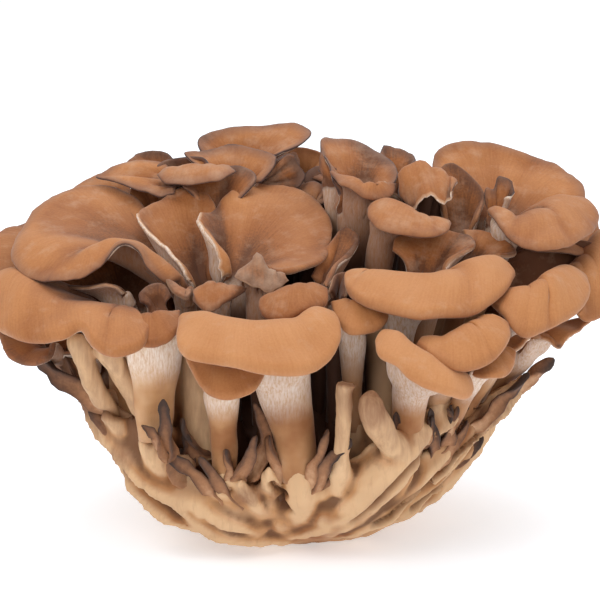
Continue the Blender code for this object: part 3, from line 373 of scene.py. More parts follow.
capTable = {
    "frontCap": {
        "rim": [(-43, -66, 98), (-43, -79, 93), (-40, -88, 90), (-31, -92, 89), (-22, -95, 88),
                (-11, -96, 86), (0, -94, 85), (7, -89, 86), (12, -81, 89), (14, -72, 93), (12, -62, 97)],
        "crown": [(-38, -64, 101), (-33, -71, 102), (-24, -74, 101), (-15, -76, 100), (-4, -73, 100),
                  (4, -68, 102), (8, -62, 101)],
        "neck": (-6, -62, 72), "foot": (0, -62, 36), "neckSize": (20, 13), "stemSize": (15, 12),
        "thick": 6, "edge": 5, "tone": 0.12, "brown": 0.35, "greyRim": 0.2, "ruffle": 0.4,
    },
    "frontTongue": {
        "rim": [(-41, -68, 84), (-35, -80, 77), (-29, -84, 74), (-22, -85, 74), (-16, -82, 76),
                (-12, -73, 80)],
        "crown": [(-36, -66, 85), (-27, -74, 83), (-17, -70, 83)],
        "neck": (-28, -62, 70), "foot": (-27, -60, 38), "neckSize": (13, 10), "stemSize": (10, 9),
        "thick": 4, "edge": 3, "tone": 0.3, "brown": 0.25, "ruffle": 0.6,
    },
    "longCap": {
        "rim": [(16, -40, 106), (17, -52, 104), (22, -60, 102), (31, -66, 100), (42, -69, 98),
                (52, -67, 99), (61, -64, 99), (68, -58, 101), (75, -48, 104), (79, -35, 107)],
        "crown": [(19, -37, 109), (29, -43, 110), (44, -47, 109), (55, -43, 111), (68, -35, 114),
                  (75, -30, 112)],
        "neck": (37, -40, 90), "foot": (34, -38, 50), "neckSize": (13, 10), "stemSize": (10, 9),
        "thick": 6, "edge": 5, "tone": 0.15, "brown": 0.4, "greyRim": 0.4, "ruffle": 0.4,
        "furrows": [(-0.72, 0.035, 0.7), (0.3, 0.1, 0.8)],
    },
    "lowRightCap": {
        "rim": [(27, -72, 90), (28, -82, 88), (34, -88, 87), (39, -91, 83), (46, -92, 79), (53, -90, 76),
                (59, -84, 74), (61, -75, 77)],
        "crown": [(29, -68, 94), (34, -74, 95), (40, -79, 91), (48, -81, 87), (56, -78, 82), (59, -72, 80)],
        "neck": (40, -62, 70), "foot": (38, -58, 46), "neckSize": (14, 10), "stemSize": (12, 10),
        "thick": 5, "edge": 4, "tone": 0.14, "brown": 0.45, "ruffle": 0.6,
    },
    "midRightCap": {
        "rim": [(41, -70, 90), (46, -79, 88), (52, -83, 85), (60, -83, 84), (69, -77, 86), (74, -68, 90),
                (75, -58, 93)],
        "crown": [(43, -66, 92), (53, -69, 94), (62, -66, 97), (70, -59, 99)],
        "neck": (52, -54, 74), "foot": (46, -44, 48), "neckSize": (13, 10), "stemSize": (10, 9),
        "thick": 5, "edge": 4, "tone": 0.25, "greyRim": 0.3, "ruffle": 0.5, "furrows": [(0.3, 0.06, 1.2)],
    },
    "lowRightLobe": {
        "rim": [(61, -73, 79), (67, -77, 79), (72, -75, 79), (76, -70, 82), (78, -61, 85)],
        "crown": [(62, -66, 83), (69, -68, 86), (75, -60, 88)],
        "neck": (62, -56, 72), "foot": (54, -44, 48), "neckSize": (9, 8), "stemSize": (8, 7),
        "thick": 4, "edge": 3, "tone": 0.3, "ruffle": 0.6,
    },
    "rightBun": {
        "rim": [(69, -47, 98), (73, -57, 96), (76, -62, 93), (81, -63, 90), (88, -58, 91), (94, -52, 92),
                (102, -42, 94), (106, -32, 97), (106, -20, 101)],
        "crown": [(74, -41, 102), (84, -43, 105), (92, -35, 108), (100, -22, 107)],
        "neck": (78, -32, 84), "foot": (62, -26, 50), "neckSize": (14, 10), "stemSize": (10, 9),
        "thick": 5, "edge": 4, "tone": 0.25, "greyRim": 0.3, "ruffle": 0.6, "furrows": [(0.05, 0.07, 1.8)],
    },
    "farRightCap": {
        "rim": [(102, -34, 91), (106, -33, 88), (113, -27, 89), (120, -17, 91), (125, -2, 94),
                (125, 12, 99)],
        "crown": [(101, -8, 102), (107, -2, 106), (114, 6, 111), (120, 14, 112)],
        "neck": (96, -4, 84), "foot": (72, -6, 52), "neckSize": (14, 10), "stemSize": (10, 9),
        "thick": 5, "edge": 4, "tone": 0.22, "ruffle": 0.6,
    },
    "farRightUnder": {
        "rim": [(88, -40, 84), (92, -43, 83), (95, -44, 81), (98, -39, 84), (104, -31, 84), (110, -22, 86)],
        "lift": 5, "neck": (84, -22, 72), "foot": (66, -18, 50), "neckSize": (12, 8), "stemSize": (9, 7),
        "thick": 3, "edge": 2, "tone": 0.35, "brown": 0.5, "ruffle": 2.0,
    },
    "rightSmallLeaf": {
        "rim": [(72, -50, 80), (77, -53, 82), (82, -50, 86), (84, -44, 88)],
        "lift": 3, "neck": (72, -38, 74), "foot": (60, -34, 50), "neckSize": (9, 7), "stemSize": (7, 6),
        "thick": 3, "edge": 2, "tone": 0.4,
    },
    "centreRightCap": {
        "rim": [(11, -46, 98), (14, -58, 93), (18, -63, 91), (26, -62, 92), (31, -57, 94), (31, -47, 96)],
        "crown": [(15, -48, 100), (21, -51, 101), (27, -48, 100)],
        "neck": (19, -48, 83), "foot": (20, -46, 50), "neckSize": (10, 8), "stemSize": (7, 7),
        "thick": 4, "edge": 4, "tone": 0.3, "ruffle": 0.6,
    },
    "leftLowCap": {
        "rim": [(-120, -18, 92), (-115, -38, 89), (-106, -52, 88), (-96, -62, 88), (-85, -68, 91),
                (-78, -66, 94), (-73, -74, 90), (-65, -78, 88), (-56, -74, 90), (-53, -64, 93)],
        "crown": [(-114, -12, 100), (-104, -26, 106), (-91, -42, 103), (-76, -53, 100), (-64, -60, 98),
                  (-57, -56, 97)],
        "neck": (-68, -32, 86), "foot": (-64, -38, 50), "neckSize": (20, 10), "stemSize": (13, 9),
        "thick": 6, "edge": 5, "tone": 0.3, "brown": 0.0, "ruffle": 0.5,
        "furrows": [(-0.3, 0.1, 1.2), (0.45, 0.06, 1.2)],
    },
    "leftLowLobe": {
        "rim": [(-114, -30, 84), (-109, -42, 82), (-107, -48, 80), (-102, -53, 77), (-96, -55, 77),
                (-91, -52, 79), (-89, -45, 83)],
        "lift": 4, "neck": (-90, -34, 74), "foot": (-72, -28, 52), "neckSize": (12, 8), "stemSize": (9, 7),
        "thick": 3, "edge": 2, "tone": 0.4, "brown": 0.8, "greyRim": 0.4, "ruffle": 1.6,
    },
    "leftBigCap": {
        "rim": [(-48, -36, 102), (-55, -38, 109), (-60, -34, 115), (-67, -34, 116), (-72, -40, 111),
                (-79, -44, 108), (-90, -42, 106), (-101, -32, 105), (-107, -16, 109), (-105, 0, 114),
                (-102, 14, 119), (-95, 26, 122), (-82, 34, 123), (-70, 34, 122), (-61, 24, 118),
                (-55, 6, 112)],
        "crown": [(-44, -30, 104), (-50, -29, 110), (-55, -28, 114), (-62, -27, 117.5), (-69, -29, 118),
                  (-76, -32, 116.5), (-84, -33, 113.5), (-94, -26, 114), (-99, -14, 116), (-99, -1, 118),
                  (-96, 12, 121), (-90, 21, 123), (-80, 26, 124), (-70, 26, 122), (-63, 17, 118),
                  (-56, 2, 112)],
        "neck": (-42, -18, 94), "foot": (-30, -16, 50), "neckSize": (16, 9), "stemSize": (12, 8),
        "thick": 3.5, "edge": 2, "tone": 0.33, "brown": 0.9, "greyRim": 0.7, "bloom": 0.05,
        "furrows": [(0.1, 0.1, 1.2), (-0.15, 0.08, 1)],
    },
    "leftBehind": {
        "rim": [(-116, -18, 99), (-122, -6, 104), (-120, 8, 108), (-108, 28, 110), (-98, 44, 112)],
        "lift": 5, "neck": (-86, 8, 92), "foot": (-60, 4, 52), "neckSize": (14, 8), "stemSize": (10, 7),
        "thick": 3, "edge": 2, "tone": 0.42, "brown": 0.8, "greyRim": 0.5,
    },
    "hollowLeaf": {
        "rim": [(-88, -26, 98), (-82, -33, 100.5), (-77, -37, 102), (-71, -39, 103.5), (-66, -38, 102),
                (-63, -35, 99)],
        "lift": 3, "neck": (-64, -32, 92), "foot": (-57, -38, 56), "neckSize": (9, 6), "stemSize": (8, 6),
        "thick": 2.4, "edge": 1.4, "tone": 0.75, "brown": 0.55, "greyRim": 0, "insideShade": 0.3, "ruffle": 1,
    },
    "twistedKnob": {
        "rim": [(-59, -58, 93), (-57, -68, 89), (-51, -70, 89), (-45, -67, 91), (-43, -59, 94),
                (-43, -50, 97)],
        "crown": [(-57, -54, 96), (-52, -58, 98), (-47, -54, 98)],
        "neck": (-52, -58, 84), "foot": (-53, -56, 50), "neckSize": (22, 12), "stemSize": (15, 11),
        "thick": 5, "edge": 4, "tone": 0.5, "brown": 0, "ruffle": 0.8,
    },
    "twistedCurl": {
        "rim": [(-58, -46, 98), (-58, -44, 101), (-54, -42, 104), (-50, -40, 103), (-47, -42, 99)],
        "neck": (-51, -46, 93), "foot": (-46, -42, 60), "neckSize": (8, 6), "stemSize": (6, 5),
        "thick": 3, "edge": 2.4, "tone": 0.6, "brown": 0.7, "greyRim": 0.6,
    },
    "uprightFan": {
        "rim": [(-42, -22, 100), (-46, -18, 107), (-52, -12, 113), (-61, -2, 119), (-58, 8, 122),
                (-50, 16, 125), (-44, 20, 127), (-37, 20, 125), (-32, 12, 120), (-30, -4, 111)],
        "neck": (-37, -18, 90), "foot": (-26, -14, 48), "neckSize": (14, 7), "stemSize": (10, 6),
        "thick": 2.8, "edge": 1.6, "tone": 0.3, "brown": 0.55, "greyRim": 0.25, "bloom": 0.05,
        "torn": (-1.1, -0.25), "furrows": [(0.35, 0.3, 3)],
    },
    "centreCap": {
        "rim": [(-29, -26, 102), (-32, -18, 113), (-38, -6, 121), (-33, 8, 121), (-28, 18, 124),
                (-21, 26, 126), (-10, 28, 126), (2, 22, 124), (10, 10, 120), (12, -6, 115), (9, -24, 109),
                (2, -36, 108), (-7, -38, 108), (-14, -34, 110)],
        "lift": 5, "neck": (-24, -22, 96), "foot": (-14, -20, 50), "neckSize": (12, 8), "stemSize": (9, 7),
        "thick": 3.5, "edge": 2.4, "tone": 0.3, "brown": 0.55, "greyRim": 0.25, "bloom": 0.05,
        "torn": (-1.1, -0.62), "furrows": [(-0.55, 0.2, 4.5)],
    },
    "whiteRuffle": {
        "rim": [(-24, -42, 107), (-20, -45, 105.5), (-15, -47, 104), (-11.5, -47, 102.5), (-8, -46, 104),
                (-4, -43, 106)],
        "crown": [(-22, -38, 108.5), (-18.5, -38, 111), (-15.5, -37, 115), (-12.5, -38, 110.5),
                  (-9, -39, 109.5), (-6, -39, 107.5)],
        "neck": (-15, -38, 97), "foot": (-14, -40, 50), "neckSize": (9, 6), "stemSize": (8, 5),
        "thick": 2.6, "edge": 1.6, "tone": 0.7, "brown": 0.8, "greyRim": 0.1, "bloom": 0.35, "ruffle": 2.2,
        "furrows": [(-0.4, 0.12, 1.2), (0.3, 0.12, 1.2)],
    },
    "littleFlatCap": {
        "rim": [(-39, -44, 99), (-36.5, -48, 97), (-33, -50, 95.5), (-30, -50, 97), (-28, -49, 99),
                (-24, -46, 100.5), (-19.5, -42, 103)],
        "crown": [(-38, -39, 101.5), (-33, -40, 105), (-27.5, -40, 104.5), (-22.5, -40, 103.5)],
        "neck": (-30, -36, 92), "foot": (-24, -34, 50), "neckSize": (9, 7), "stemSize": (7, 6),
        "thick": 3.4, "edge": 3, "tone": 0.5, "brown": 0.6, "greyRim": 0.4, "bloom": 0.15, "ruffle": 1,
    },
    "littleLeftLeaf": {
        "rim": [(-49, -37, 104), (-46, -43, 101), (-41, -45, 99), (-38, -38, 101)],
        "lift": 3, "neck": (-42, -33, 94), "foot": (-36, -32, 52), "neckSize": (8, 6), "stemSize": (6, 5),
        "thick": 2.6, "edge": 2, "tone": 0.6, "brown": 0.7, "bloom": 0.15,
    },
    "centreBun": {
        "rim": [(-15, -52, 100), (-14, -60, 98), (-10, -64, 97), (-5, -65, 96), (1, -61, 98), (9, -54, 99),
                (10, -45, 102)],
        "crown": [(-12, -50, 103), (-3, -51, 107), (5, -44, 106)],
        "neck": (-2, -44, 90), "foot": (-2, -42, 48), "neckSize": (11, 9), "stemSize": (8, 8),
        "thick": 4.5, "edge": 4, "tone": 0.52, "brown": 0.8, "greyRim": 0.4, "bloom": 0.05, "ruffle": 0.7,
    },
    "darkLeaf": {
        "rim": [(4, -30, 104), (7, -22, 109), (12, -14, 114), (17, -6, 117), (22, -12, 114), (18, -22, 110),
                (12, -32, 107), (9, -40, 103)],
        "neck": (9, -30, 97), "foot": (6, -26, 48), "neckSize": (10, 7), "stemSize": (8, 6),
        "thick": 3, "edge": 2, "tone": 0.42, "brown": 0.9, "greyRim": 0.4,
    },
    "darkSliver": {
        "skinSide": (0, -1, 0.2),
        "rim": [(10, -42, 101), (13, -34, 105), (17, -32, 106), (17, -40, 103), (17, -46, 100)],
        "neck": (14, -38, 94), "foot": (12, -36, 50), "neckSize": (8, 6), "stemSize": (6, 5),
        "thick": 2.6, "edge": 2, "tone": 0.8,
    },
    "highMiddleCap": {
        "rim": [(25, -10, 125), (26, -20, 122), (30, -26, 120), (38, -30, 119), (46, -30, 118),
                (54, -24, 119), (56, -15, 120)],
        "crown": [(27, -6, 127), (33, -9, 129), (40, -13, 126), (48, -15, 123), (52, -12, 122)],
        "neck": (31, -12, 113), "foot": (28, -14, 52), "neckSize": (11, 8), "stemSize": (8, 7),
        "thick": 3.4, "edge": 2.6, "tone": 0.38, "brown": 0.85, "greyRim": 0.45, "bloom": 0.1,
    },
    "behindLongCap": {
        "rim": [(34, -22, 112), (36, -17, 116), (45, -13, 117), (54, -11, 116), (62, -11, 115),
                (65, -18, 113), (59, -27, 112)],
        "lift": 2, "neck": (46, -30, 98), "foot": (38, -28, 50), "neckSize": (14, 9), "stemSize": (10, 8),
        "thick": 3, "edge": 2, "tone": 0.44, "brown": 0.6, "bloom": 0.1,
    },
    "rightBlade": {
        "rim": [(61, -4, 115), (68, -4, 115), (77, -8, 112), (81, -14, 108), (74, -19, 108)],
        "neck": (64, -14, 102), "foot": (52, -10, 52), "neckSize": (10, 7), "stemSize": (8, 6),
        "thick": 2.6, "edge": 1.8, "tone": 0.4, "bloom": 0.1,
    },
    "rightLobedCap": {
        "rim": [(70, -4, 123), (75, -19, 119), (80, -26, 116), (86, -28, 114), (95, -26, 113),
                (105, -16, 114), (112, -2, 116), (113, 10, 120), (109, 20, 122)],
        "crown": [(73, 0, 124), (81, -8, 122), (89, -2, 124), (99, 8, 126), (104, 14, 125)],
        "neck": (75, -3, 109), "foot": (58, -4, 54), "neckSize": (13, 9), "stemSize": (10, 8),
        "thick": 3.6, "edge": 2.6, "tone": 0.35, "brown": 0.4, "greyRim": 0.5, "bloom": 0.05,
        "furrows": [(0.1, 0.05, 1), (-0.6, 0.12, 1.2)],
    },
    "backRightFan": {
        "rim": [(51, 28, 133), (53, 36, 137), (61, 42, 139), (73, 44, 139), (84, 42, 137), (94, 40, 134),
                (103, 34, 130), (109, 26, 126), (109, 16, 121)],
        "lift": 2, "neck": (74, 10, 110), "foot": (52, 8, 54), "neckSize": (20, 9), "stemSize": (15, 8),
        "thick": 3, "edge": 2, "tone": 0.24, "brown": 0.8, "greyRim": 0.8, "bloom": 0.05, "ruffle": 1.1,
    },
    "rightPeak": {
        "rim": [(70, 8, 123), (70.5, 9, 128.5), (73.5, 10, 128), (75.5, 11, 133), (81, 11, 130.5),
                (79, 9, 125), (77, 8, 120)],
        "lift": 0, "neck": (74, 5, 112), "foot": (54, 6, 54), "neckSize": (8, 6), "stemSize": (7, 5),
        "thick": 2, "edge": 1.2, "tone": 0.38, "brown": 0.7, "greyRim": 0.8, "bloom": 0.1, "ruffle": 1.8,
        "furrows": [(-0.1, 0.12, 1.5)],
    },
    "curledBlade": {
        "rim": [(51, 8, 130), (53, 14, 135), (58, 18, 136), (65, 16, 132), (69, 10, 127), (67, 1, 118)],
        "lift": -3, "neck": (60, 0, 108), "foot": (46, 0, 52), "neckSize": (10, 7), "stemSize": (8, 6),
        "thick": 2.2, "edge": 1.3, "tone": 0.3, "brown": 0.6, "greyRim": 0.4, "bloom": 0.1,
    },
    "tornTube": {
        "rim": [(37, 2, 128), (41.5, -6, 123.5), (44.5, -8, 126.5), (48, -9, 129), (52, -9, 128),
                (55, -8, 127), (56, -6, 130.5), (59, 0, 133)],
        "crown": [(37.5, 6, 134), (40, 7, 137.5), (45, 8, 139.5), (51, 8, 138), (56.5, 7, 135),
                  (59.5, 5, 133)],
        "neck": (46, 12, 112), "foot": (34, 2, 52), "neckSize": (14, 6), "stemSize": (9, 7),
        "thick": 2.2, "edge": 1.2, "tone": 0.44, "brown": 1, "greyRim": 0.4, "bloom": 0.1, "shadow": 0.95,
        "ruffle": 2.2, "torn": (-0.75, 0.75), "furrows": [(0.1, 0.15, 1.5), (0.55, 0.1, 1.5)],
    },
    "highFan": {
        "rim": [(13, 3, 133), (11, 14, 138), (8, 22, 140), (9, 30, 144), (18, 34, 143), (28, 32, 140),
                (35, 22, 137), (37, 12, 133), (34, 2, 128)],
        "lift": 2, "neck": (20, 4, 118), "foot": (16, 2, 52), "neckSize": (12, 9), "stemSize": (9, 8),
        "thick": 2.2, "edge": 1.3, "tone": 0.36, "brown": 0.85, "greyRim": 0.9, "bloom": 0.1,
        "furrows": [(0.35, 0.25, 3)],
    },
    "highFanFront": {
        "rim": [(11, 10, 135), (13, 2, 134), (15, -4, 132), (20, -7, 131), (25, -8, 128), (34, -2, 128),
                (37, 8, 131)],
        "crown": [(14, 8, 135), (20, 0, 135), (26, -1, 134), (33, 6, 133)],
        "neck": (22, 2, 119), "foot": (18, 0, 52), "neckSize": (12, 9), "stemSize": (9, 8),
        "thick": 3, "edge": 2, "tone": 0.45, "brown": 0.85, "greyRim": 0.5, "ruffle": 0.6,
    },
    "highSpike": {
        "skinSide": (0, -1, 0.2),
        "rim": [(6.5, 16, 134), (7, 16, 141), (10, 15, 138), (14, 14, 135)],
        "lift": 0.5, "neck": (12, 12, 127), "foot": (16, 4, 60), "neckSize": (7, 5), "stemSize": (6, 5),
        "thick": 2, "edge": 1.2, "tone": 0.5, "brown": 0.6, "greyRim": 0.8, "ruffle": 1.6,
    },
    "highTorn": {
        "rim": [(31, 30, 137), (33, 36, 139), (42, 34, 137), (44, 26, 134), (40, 16, 130)],
        "neck": (36, 20, 116), "foot": (30, 14, 52), "neckSize": (10, 7), "stemSize": (8, 6),
        "thick": 2.2, "edge": 1.3, "tone": 0.3, "brown": 0.7, "greyRim": 0.8, "ruffle": 2,
    },
    "peekLeaf": {
        "skinSide": (0, -1, 0.2),
        "rim": [(-2, 36, 123), (5, 34, 126), (10, 30, 124), (10, 22, 120)],
        "neck": (4, 24, 112), "foot": (4, 16, 52), "neckSize": (8, 6), "stemSize": (6, 5),
        "thick": 2.2, "edge": 1.3, "tone": 0.45, "brown": 0.8, "greyRim": 0.8, "bloom": 0.2,
    },
    "darkRuffle": {
        "skinSide": (0, -1, 0.2),
        "rim": [(1, 42, 123), (3, 46, 127), (8, 47, 129), (13, 42, 128), (14, 36, 125)],
        "neck": (6, 36, 114), "foot": (6, 22, 54), "neckSize": (8, 6), "stemSize": (6, 5),
        "thick": 2.2, "edge": 1.3, "tone": 0.65, "brown": 0.8, "greyRim": 1,
    },
    "topPlate": {
        "skinSide": (0, -1, 0.6),
        "rim": [(-31, 38, 134), (-38, 40, 136), (-40, 46, 139), (-37, 52, 141), (-26, 56, 142.5),
                (-14, 58, 143.5), (-4, 58, 144.5), (2, 54, 143.5), (4, 48, 141.5), (0, 41, 139),
                (-9, 36, 135), (-15, 36, 134)],
        "lift": 0.5, "neck": (-22, 40, 126), "foot": (-14, 34, 56), "neckSize": (14, 7),
        "stemSize": (12, 8),
        "thick": 2, "edge": 1.2, "tone": 0.26, "brown": 0.8, "greyRim": 0.9, "bloom": 0.1, "ruffle": 0.8,
    },
    "topShelf": {
        "skinSide": (0, -1, 0.6),
        "rim": [(-36, 26, 130), (-40, 30, 133), (-45, 36, 137), (-38, 38, 137.5), (-28, 40, 139),
                (-18, 38, 138), (-10, 34, 136), (-10, 28, 133), (-15, 22, 128)],
        "neck": (-25, 24, 122), "foot": (-18, 26, 54), "neckSize": (14, 7), "stemSize": (10, 8),
        "thick": 2, "edge": 1.2, "tone": 0.28, "brown": 0.8, "greyRim": 0.9, "bloom": 0.1, "ruffle": 1,
    },
    "topRolled": {
        "rim": [(-55, 24, 131), (-52, 18, 128.5), (-47, 15, 128.5), (-39, 13, 128.5), (-31, 13, 130),
                (-24, 16, 133)],
        "crown": [(-53, 26, 133), (-45, 24, 134.5), (-36, 23, 135), (-27, 22, 134.5)],
        "neck": (-38, 30, 124), "foot": (-30, 20, 54), "neckSize": (12, 6), "stemSize": (9, 6),
        "thick": 2.4, "edge": 1.6, "tone": 0.4, "brown": 0.9, "greyRim": 0.7, "bloom": 0.2, "ruffle": 1,
    },
    "topRolledLeaf": {
        "skinSide": (0, -1, 0.4),
        "rim": [(-45, 18, 127), (-44, 24, 131), (-34, 26, 133.5), (-25, 26, 134), (-18, 21, 132),
                (-17, 16, 129), (-22, 12, 124)],
        "lift": 0.5, "neck": (-31, 14, 116), "foot": (-24, 14, 54), "neckSize": (13, 7),
        "stemSize": (10, 7),
        "thick": 2, "edge": 1.2, "tone": 0.36, "brown": 0.8, "greyRim": 0.8, "bloom": 0.1, "ruffle": 1,
    },
    "topLeftCap": {
        "skinSide": (0, -0.7, 1),
        "rim": [(-52, 37, 132), (-58, 39, 132), (-70, 38, 132), (-76, 36, 130), (-79, 32, 128),
                (-73, 28, 127), (-64, 22, 125), (-59, 19, 124), (-54, 17, 123), (-48, 16, 125)],
        "lift": 2, "neck": (-46, 27, 123), "foot": (-36, 26, 54), "neckSize": (13, 7), "stemSize": (10, 7),
        "thick": 2.4, "edge": 1.4, "tone": 0.3, "brown": 0.8, "greyRim": 0.8, "bloom": 0.1, "ruffle": 1,
        "furrows": [(0.35, 0.2, 1.8)],
    },
    "topLeftFold": {
        "skinSide": (0, -1, 0.2),
        "rim": [(-70, 50, 128), (-66, 54, 132), (-60, 55, 133), (-52, 51, 133), (-47, 44, 130)],
        "lift": 2, "neck": (-52, 54, 116), "foot": (-32, 32, 54), "neckSize": (11, 7), "stemSize": (8, 6),
        "thick": 2.2, "edge": 1.3, "tone": 0.24, "brown": 0.8, "greyRim": 0.7, "bloom": 0.1,
    },
    "topDarkStrip": {
        "skinSide": (0, -1, 0.4),
        "rim": [(-57, 33, 131), (-53, 36, 133), (-46, 34, 134), (-38, 32, 135), (-33, 27, 133)],
        "lift": 2, "neck": (-42, 38, 120), "foot": (-30, 24, 54), "neckSize": (10, 7), "stemSize": (8, 6),
        "thick": 2.2, "edge": 1.3, "tone": 0.42, "brown": 0.9, "greyRim": 0.8, "bloom": 0.1,
    },
    "streakedLeaf": {
        "skinSide": (0, -1, 0.2),
        "rim": [(-14, 31, 127), (-13, 32, 131), (-8, 34, 135), (-3, 35, 136.5), (0.5, 34, 133),
                (3, 32, 127.5), (-1, 30, 123.5)],
        "lift": 0.5, "neck": (-17, 29, 123), "foot": (-6, 20, 54), "neckSize": (5, 5), "stemSize": (7, 6),
        "thick": 2.2, "edge": 1.3, "tone": 0.52, "brown": 0.8, "greyRim": 0.9, "bloom": 0.15, "ruffle": 2.4,
        "furrows": [(-0.6, 0.09, 1.2), (-0.2, 0.09, 1), (0.2, 0.09, 1.2), (0.6, 0.09, 1)],
    },
    "backPeek": {
        "skinSide": (0, -1, 0.2),
        "rim": [(-8, 48, 130), (-2, 54, 135), (8, 53, 133), (11, 46, 130)],
        "lift": 2, "neck": (2, 50, 118), "foot": (2, 30, 54), "neckSize": (10, 7), "stemSize": (8, 6),
        "thick": 2.2, "edge": 1.3, "tone": 0.05, "brown": 0.8, "greyRim": 0.3,
    },
    "behindLeftCap": {
        "rim": [(-92, 40, 117), (-90, 46, 120), (-86, 50, 122), (-79, 53, 125), (-69, 56, 126)],
        "lift": 3, "neck": (-68, 42, 112), "foot": (-44, 26, 54), "neckSize": (12, 8), "stemSize": (9, 7),
        "thick": 2.8, "edge": 1.8, "tone": 0.4, "brown": 0.8, "greyRim": 0.6, "bloom": 0.1,
    },
    "gapLeaf": {
        "skinSide": (0, -1, 0.2),
        "rim": [(-67, 32, 118), (-65, 36, 125), (-57, 36, 129), (-50, 33, 128), (-47, 28, 122)],
        "neck": (-54, 32, 112), "foot": (-38, 22, 54), "neckSize": (12, 6), "stemSize": (9, 6),
        "thick": 2.4, "edge": 1.4, "tone": 0.2, "brown": 0.6, "greyRim": 0.3, "ruffle": 1,
    },
    "rightHollowWall": {
        "skinSide": (0, -1, 0.2),
        "rim": [(72, -6, 94), (82, -2, 106), (97, 2, 110), (110, 2, 109), (118, -2, 102)],
        "neck": (92, -4, 84), "foot": (66, 0, 50), "neckSize": (16, 7), "stemSize": (10, 7),
        "thick": 3, "edge": 2, "tone": 0.7, "brown": 0.9, "greyRim": 0.3, "insideShade": 0.3, "ruffle": 1,
    },
    "leftHollowWall": {
        "skinSide": (0, -1, 0.2),
        "rim": [(-100, -12, 96), (-86, -4, 107), (-66, 0, 109), (-50, -8, 104), (-42, -18, 97)],
        "lift": 2, "neck": (-64, -14, 84), "foot": (-50, -12, 50), "neckSize": (16, 7), "stemSize": (10, 7),
        "thick": 3, "edge": 2, "tone": 0.55, "brown": 0.9, "greyRim": 0.3, "insideShade": 0.12, "ruffle": 1,
    },
}


# The caps round the back and the sides:
# azimuth from the back towards the right, radius, height, width, depth, lift, tone
ringTable = {
    "backOuter1": (-64, 106, 92, 50, 34, 8, 0.3),
    "backOuter2": (-42, 104, 94, 54, 36, 9, 0.2),
    "backOuter3": (-21, 105, 90, 48, 32, 8, 0.35),
    "backOuter4": (0, 104, 95, 52, 36, 9, 0.25),
    "backOuter5": (20, 105, 91, 48, 34, 8, 0.3),
    "backOuter6": (41, 104, 95, 54, 36, 9, 0.2),
    "backOuter7": (62, 106, 92, 48, 32, 8, 0.35),
    "backLower1": (-53, 96, 75, 34, 22, 5, 0.4),
    "backLower2": (-31, 98, 73, 32, 20, 5, 0.3),
    "backLower3": (-10, 95, 76, 34, 22, 5, 0.45),
    "backLower4": (11, 97, 73, 32, 20, 5, 0.35),
    "backLower5": (31, 96, 76, 34, 22, 5, 0.4),
    "backLower6": (52, 98, 74, 34, 22, 5, 0.35),
    "backMiddle1": (-52, 86, 109, 48, 30, 6, 0.35),
    "backMiddle2": (-30, 87, 113, 48, 32, 7, 0.4),
    "backMiddle3": (-8, 88, 112, 46, 30, 6, 0.3),
    "backMiddle4": (13, 87, 114, 48, 32, 7, 0.4),
    "backMiddle5": (34, 86, 112, 46, 30, 6, 0.35),
    "backMiddle6": (54, 88, 108, 46, 30, 6, 0.4),
    "backUpper1": (-20, 76, 127, 40, 26, 5, 0.45),
    "backUpper2": (8, 74, 128, 40, 28, 5, 0.5),
    "backUpper3": (32, 70, 127, 36, 26, 5, 0.45),
    "rightSideUpper": (78, 122, 108, 46, 30, 6, 0.35),
    "rightSideLower": (84, 110, 86, 36, 24, 5, 0.4),
    "rightSideBack": (70, 112, 98, 36, 26, 6, 0.3),
    "leftSideUpper": (-74, 120, 100, 46, 30, 6, 0.35),
    "leftSideLower": (-86, 110, 80, 36, 24, 5, 0.4),
    "leftSideFront": (-104, 106, 76, 30, 20, 4, 0.45),
    "rightSideFront": (100, 104, 78, 30, 20, 4, 0.45),
    "backSmall1": (-58, 92, 100, 24, 16, 3, 0.5),
    "backSmall2": (-38, 100, 83, 22, 16, 3, 0.45),
    "backSmall3": (-16, 98, 102, 24, 17, 3, 0.5),
    "backSmall4": (4, 101, 84, 22, 16, 3, 0.4),
    "backSmall5": (26, 97, 103, 24, 17, 3, 0.55),
    "backSmall6": (46, 100, 84, 24, 16, 3, 0.45),
    "backSmall7": (22, 80, 121, 22, 16, 3, 0.5),
    "backSmall8": (-40, 78, 121, 24, 16, 3, 0.5),
    "innerLeft": (-48, 52, 118, 30, 20, 3, 0.6),
    "innerRight": (46, 52, 124, 28, 20, 3, 0.6),
    "innerBack": (10, 54, 126, 30, 20, 3, 0.6),
}

capShape = {
    "ringFaceSize": 2.1,        # mm, about the side of one face round the back and the sides
    "spans": (24, 84),          # fewest and most faces along a rim
    "rows": (16, 46),           # fewest and most rows of faces from neck to rim
    "roundOff": 0.94,           # from here outwards the margin rounds off
    "bites": [(9, 1, 1.3), (3, 0.45, 4.3)],     # mm apart along the margin, share, row of the noise
    "biteDepth": 0.7,           # mm that the bites move a margin with a ruffle of 1
    "toothSpacing": 1.6, "toothDepth": 1.6,     # mm, the teeth of a torn margin
    "broadWave": (22, 2.0),     # mm apart and mm high, over the whole cap
    "rimWaves": [(8, 0.7, 3, 11), (4, 0.35, 8, 23)],    # the same, how far out they gather, and a seed
    # radial folds that every cap has: how many, between what places, their width, and their depth in mm
    "folds": 3, "foldPlace": (-0.8, 0.8), "foldWidth": (0.1, 0.24), "foldDepth": (0.3, 1.2),
    "dents": (7, 0.45),         # mm apart and mm deep, small hollows in the skin
    "blurRounds": 40,           # rounds of smoothing that tell hollow skin, which gets painted shade, from raised
    "neckShade": 0.42,          # how much painted shade darkens the skin near the neck
    "rimShade": 0.15,           # how much darker it is along a greyed margin
    "stemStep": 2.2,            # mm between the rings of a stem
    "waist": 0.14,              # how much narrower a stem is at its foot
}


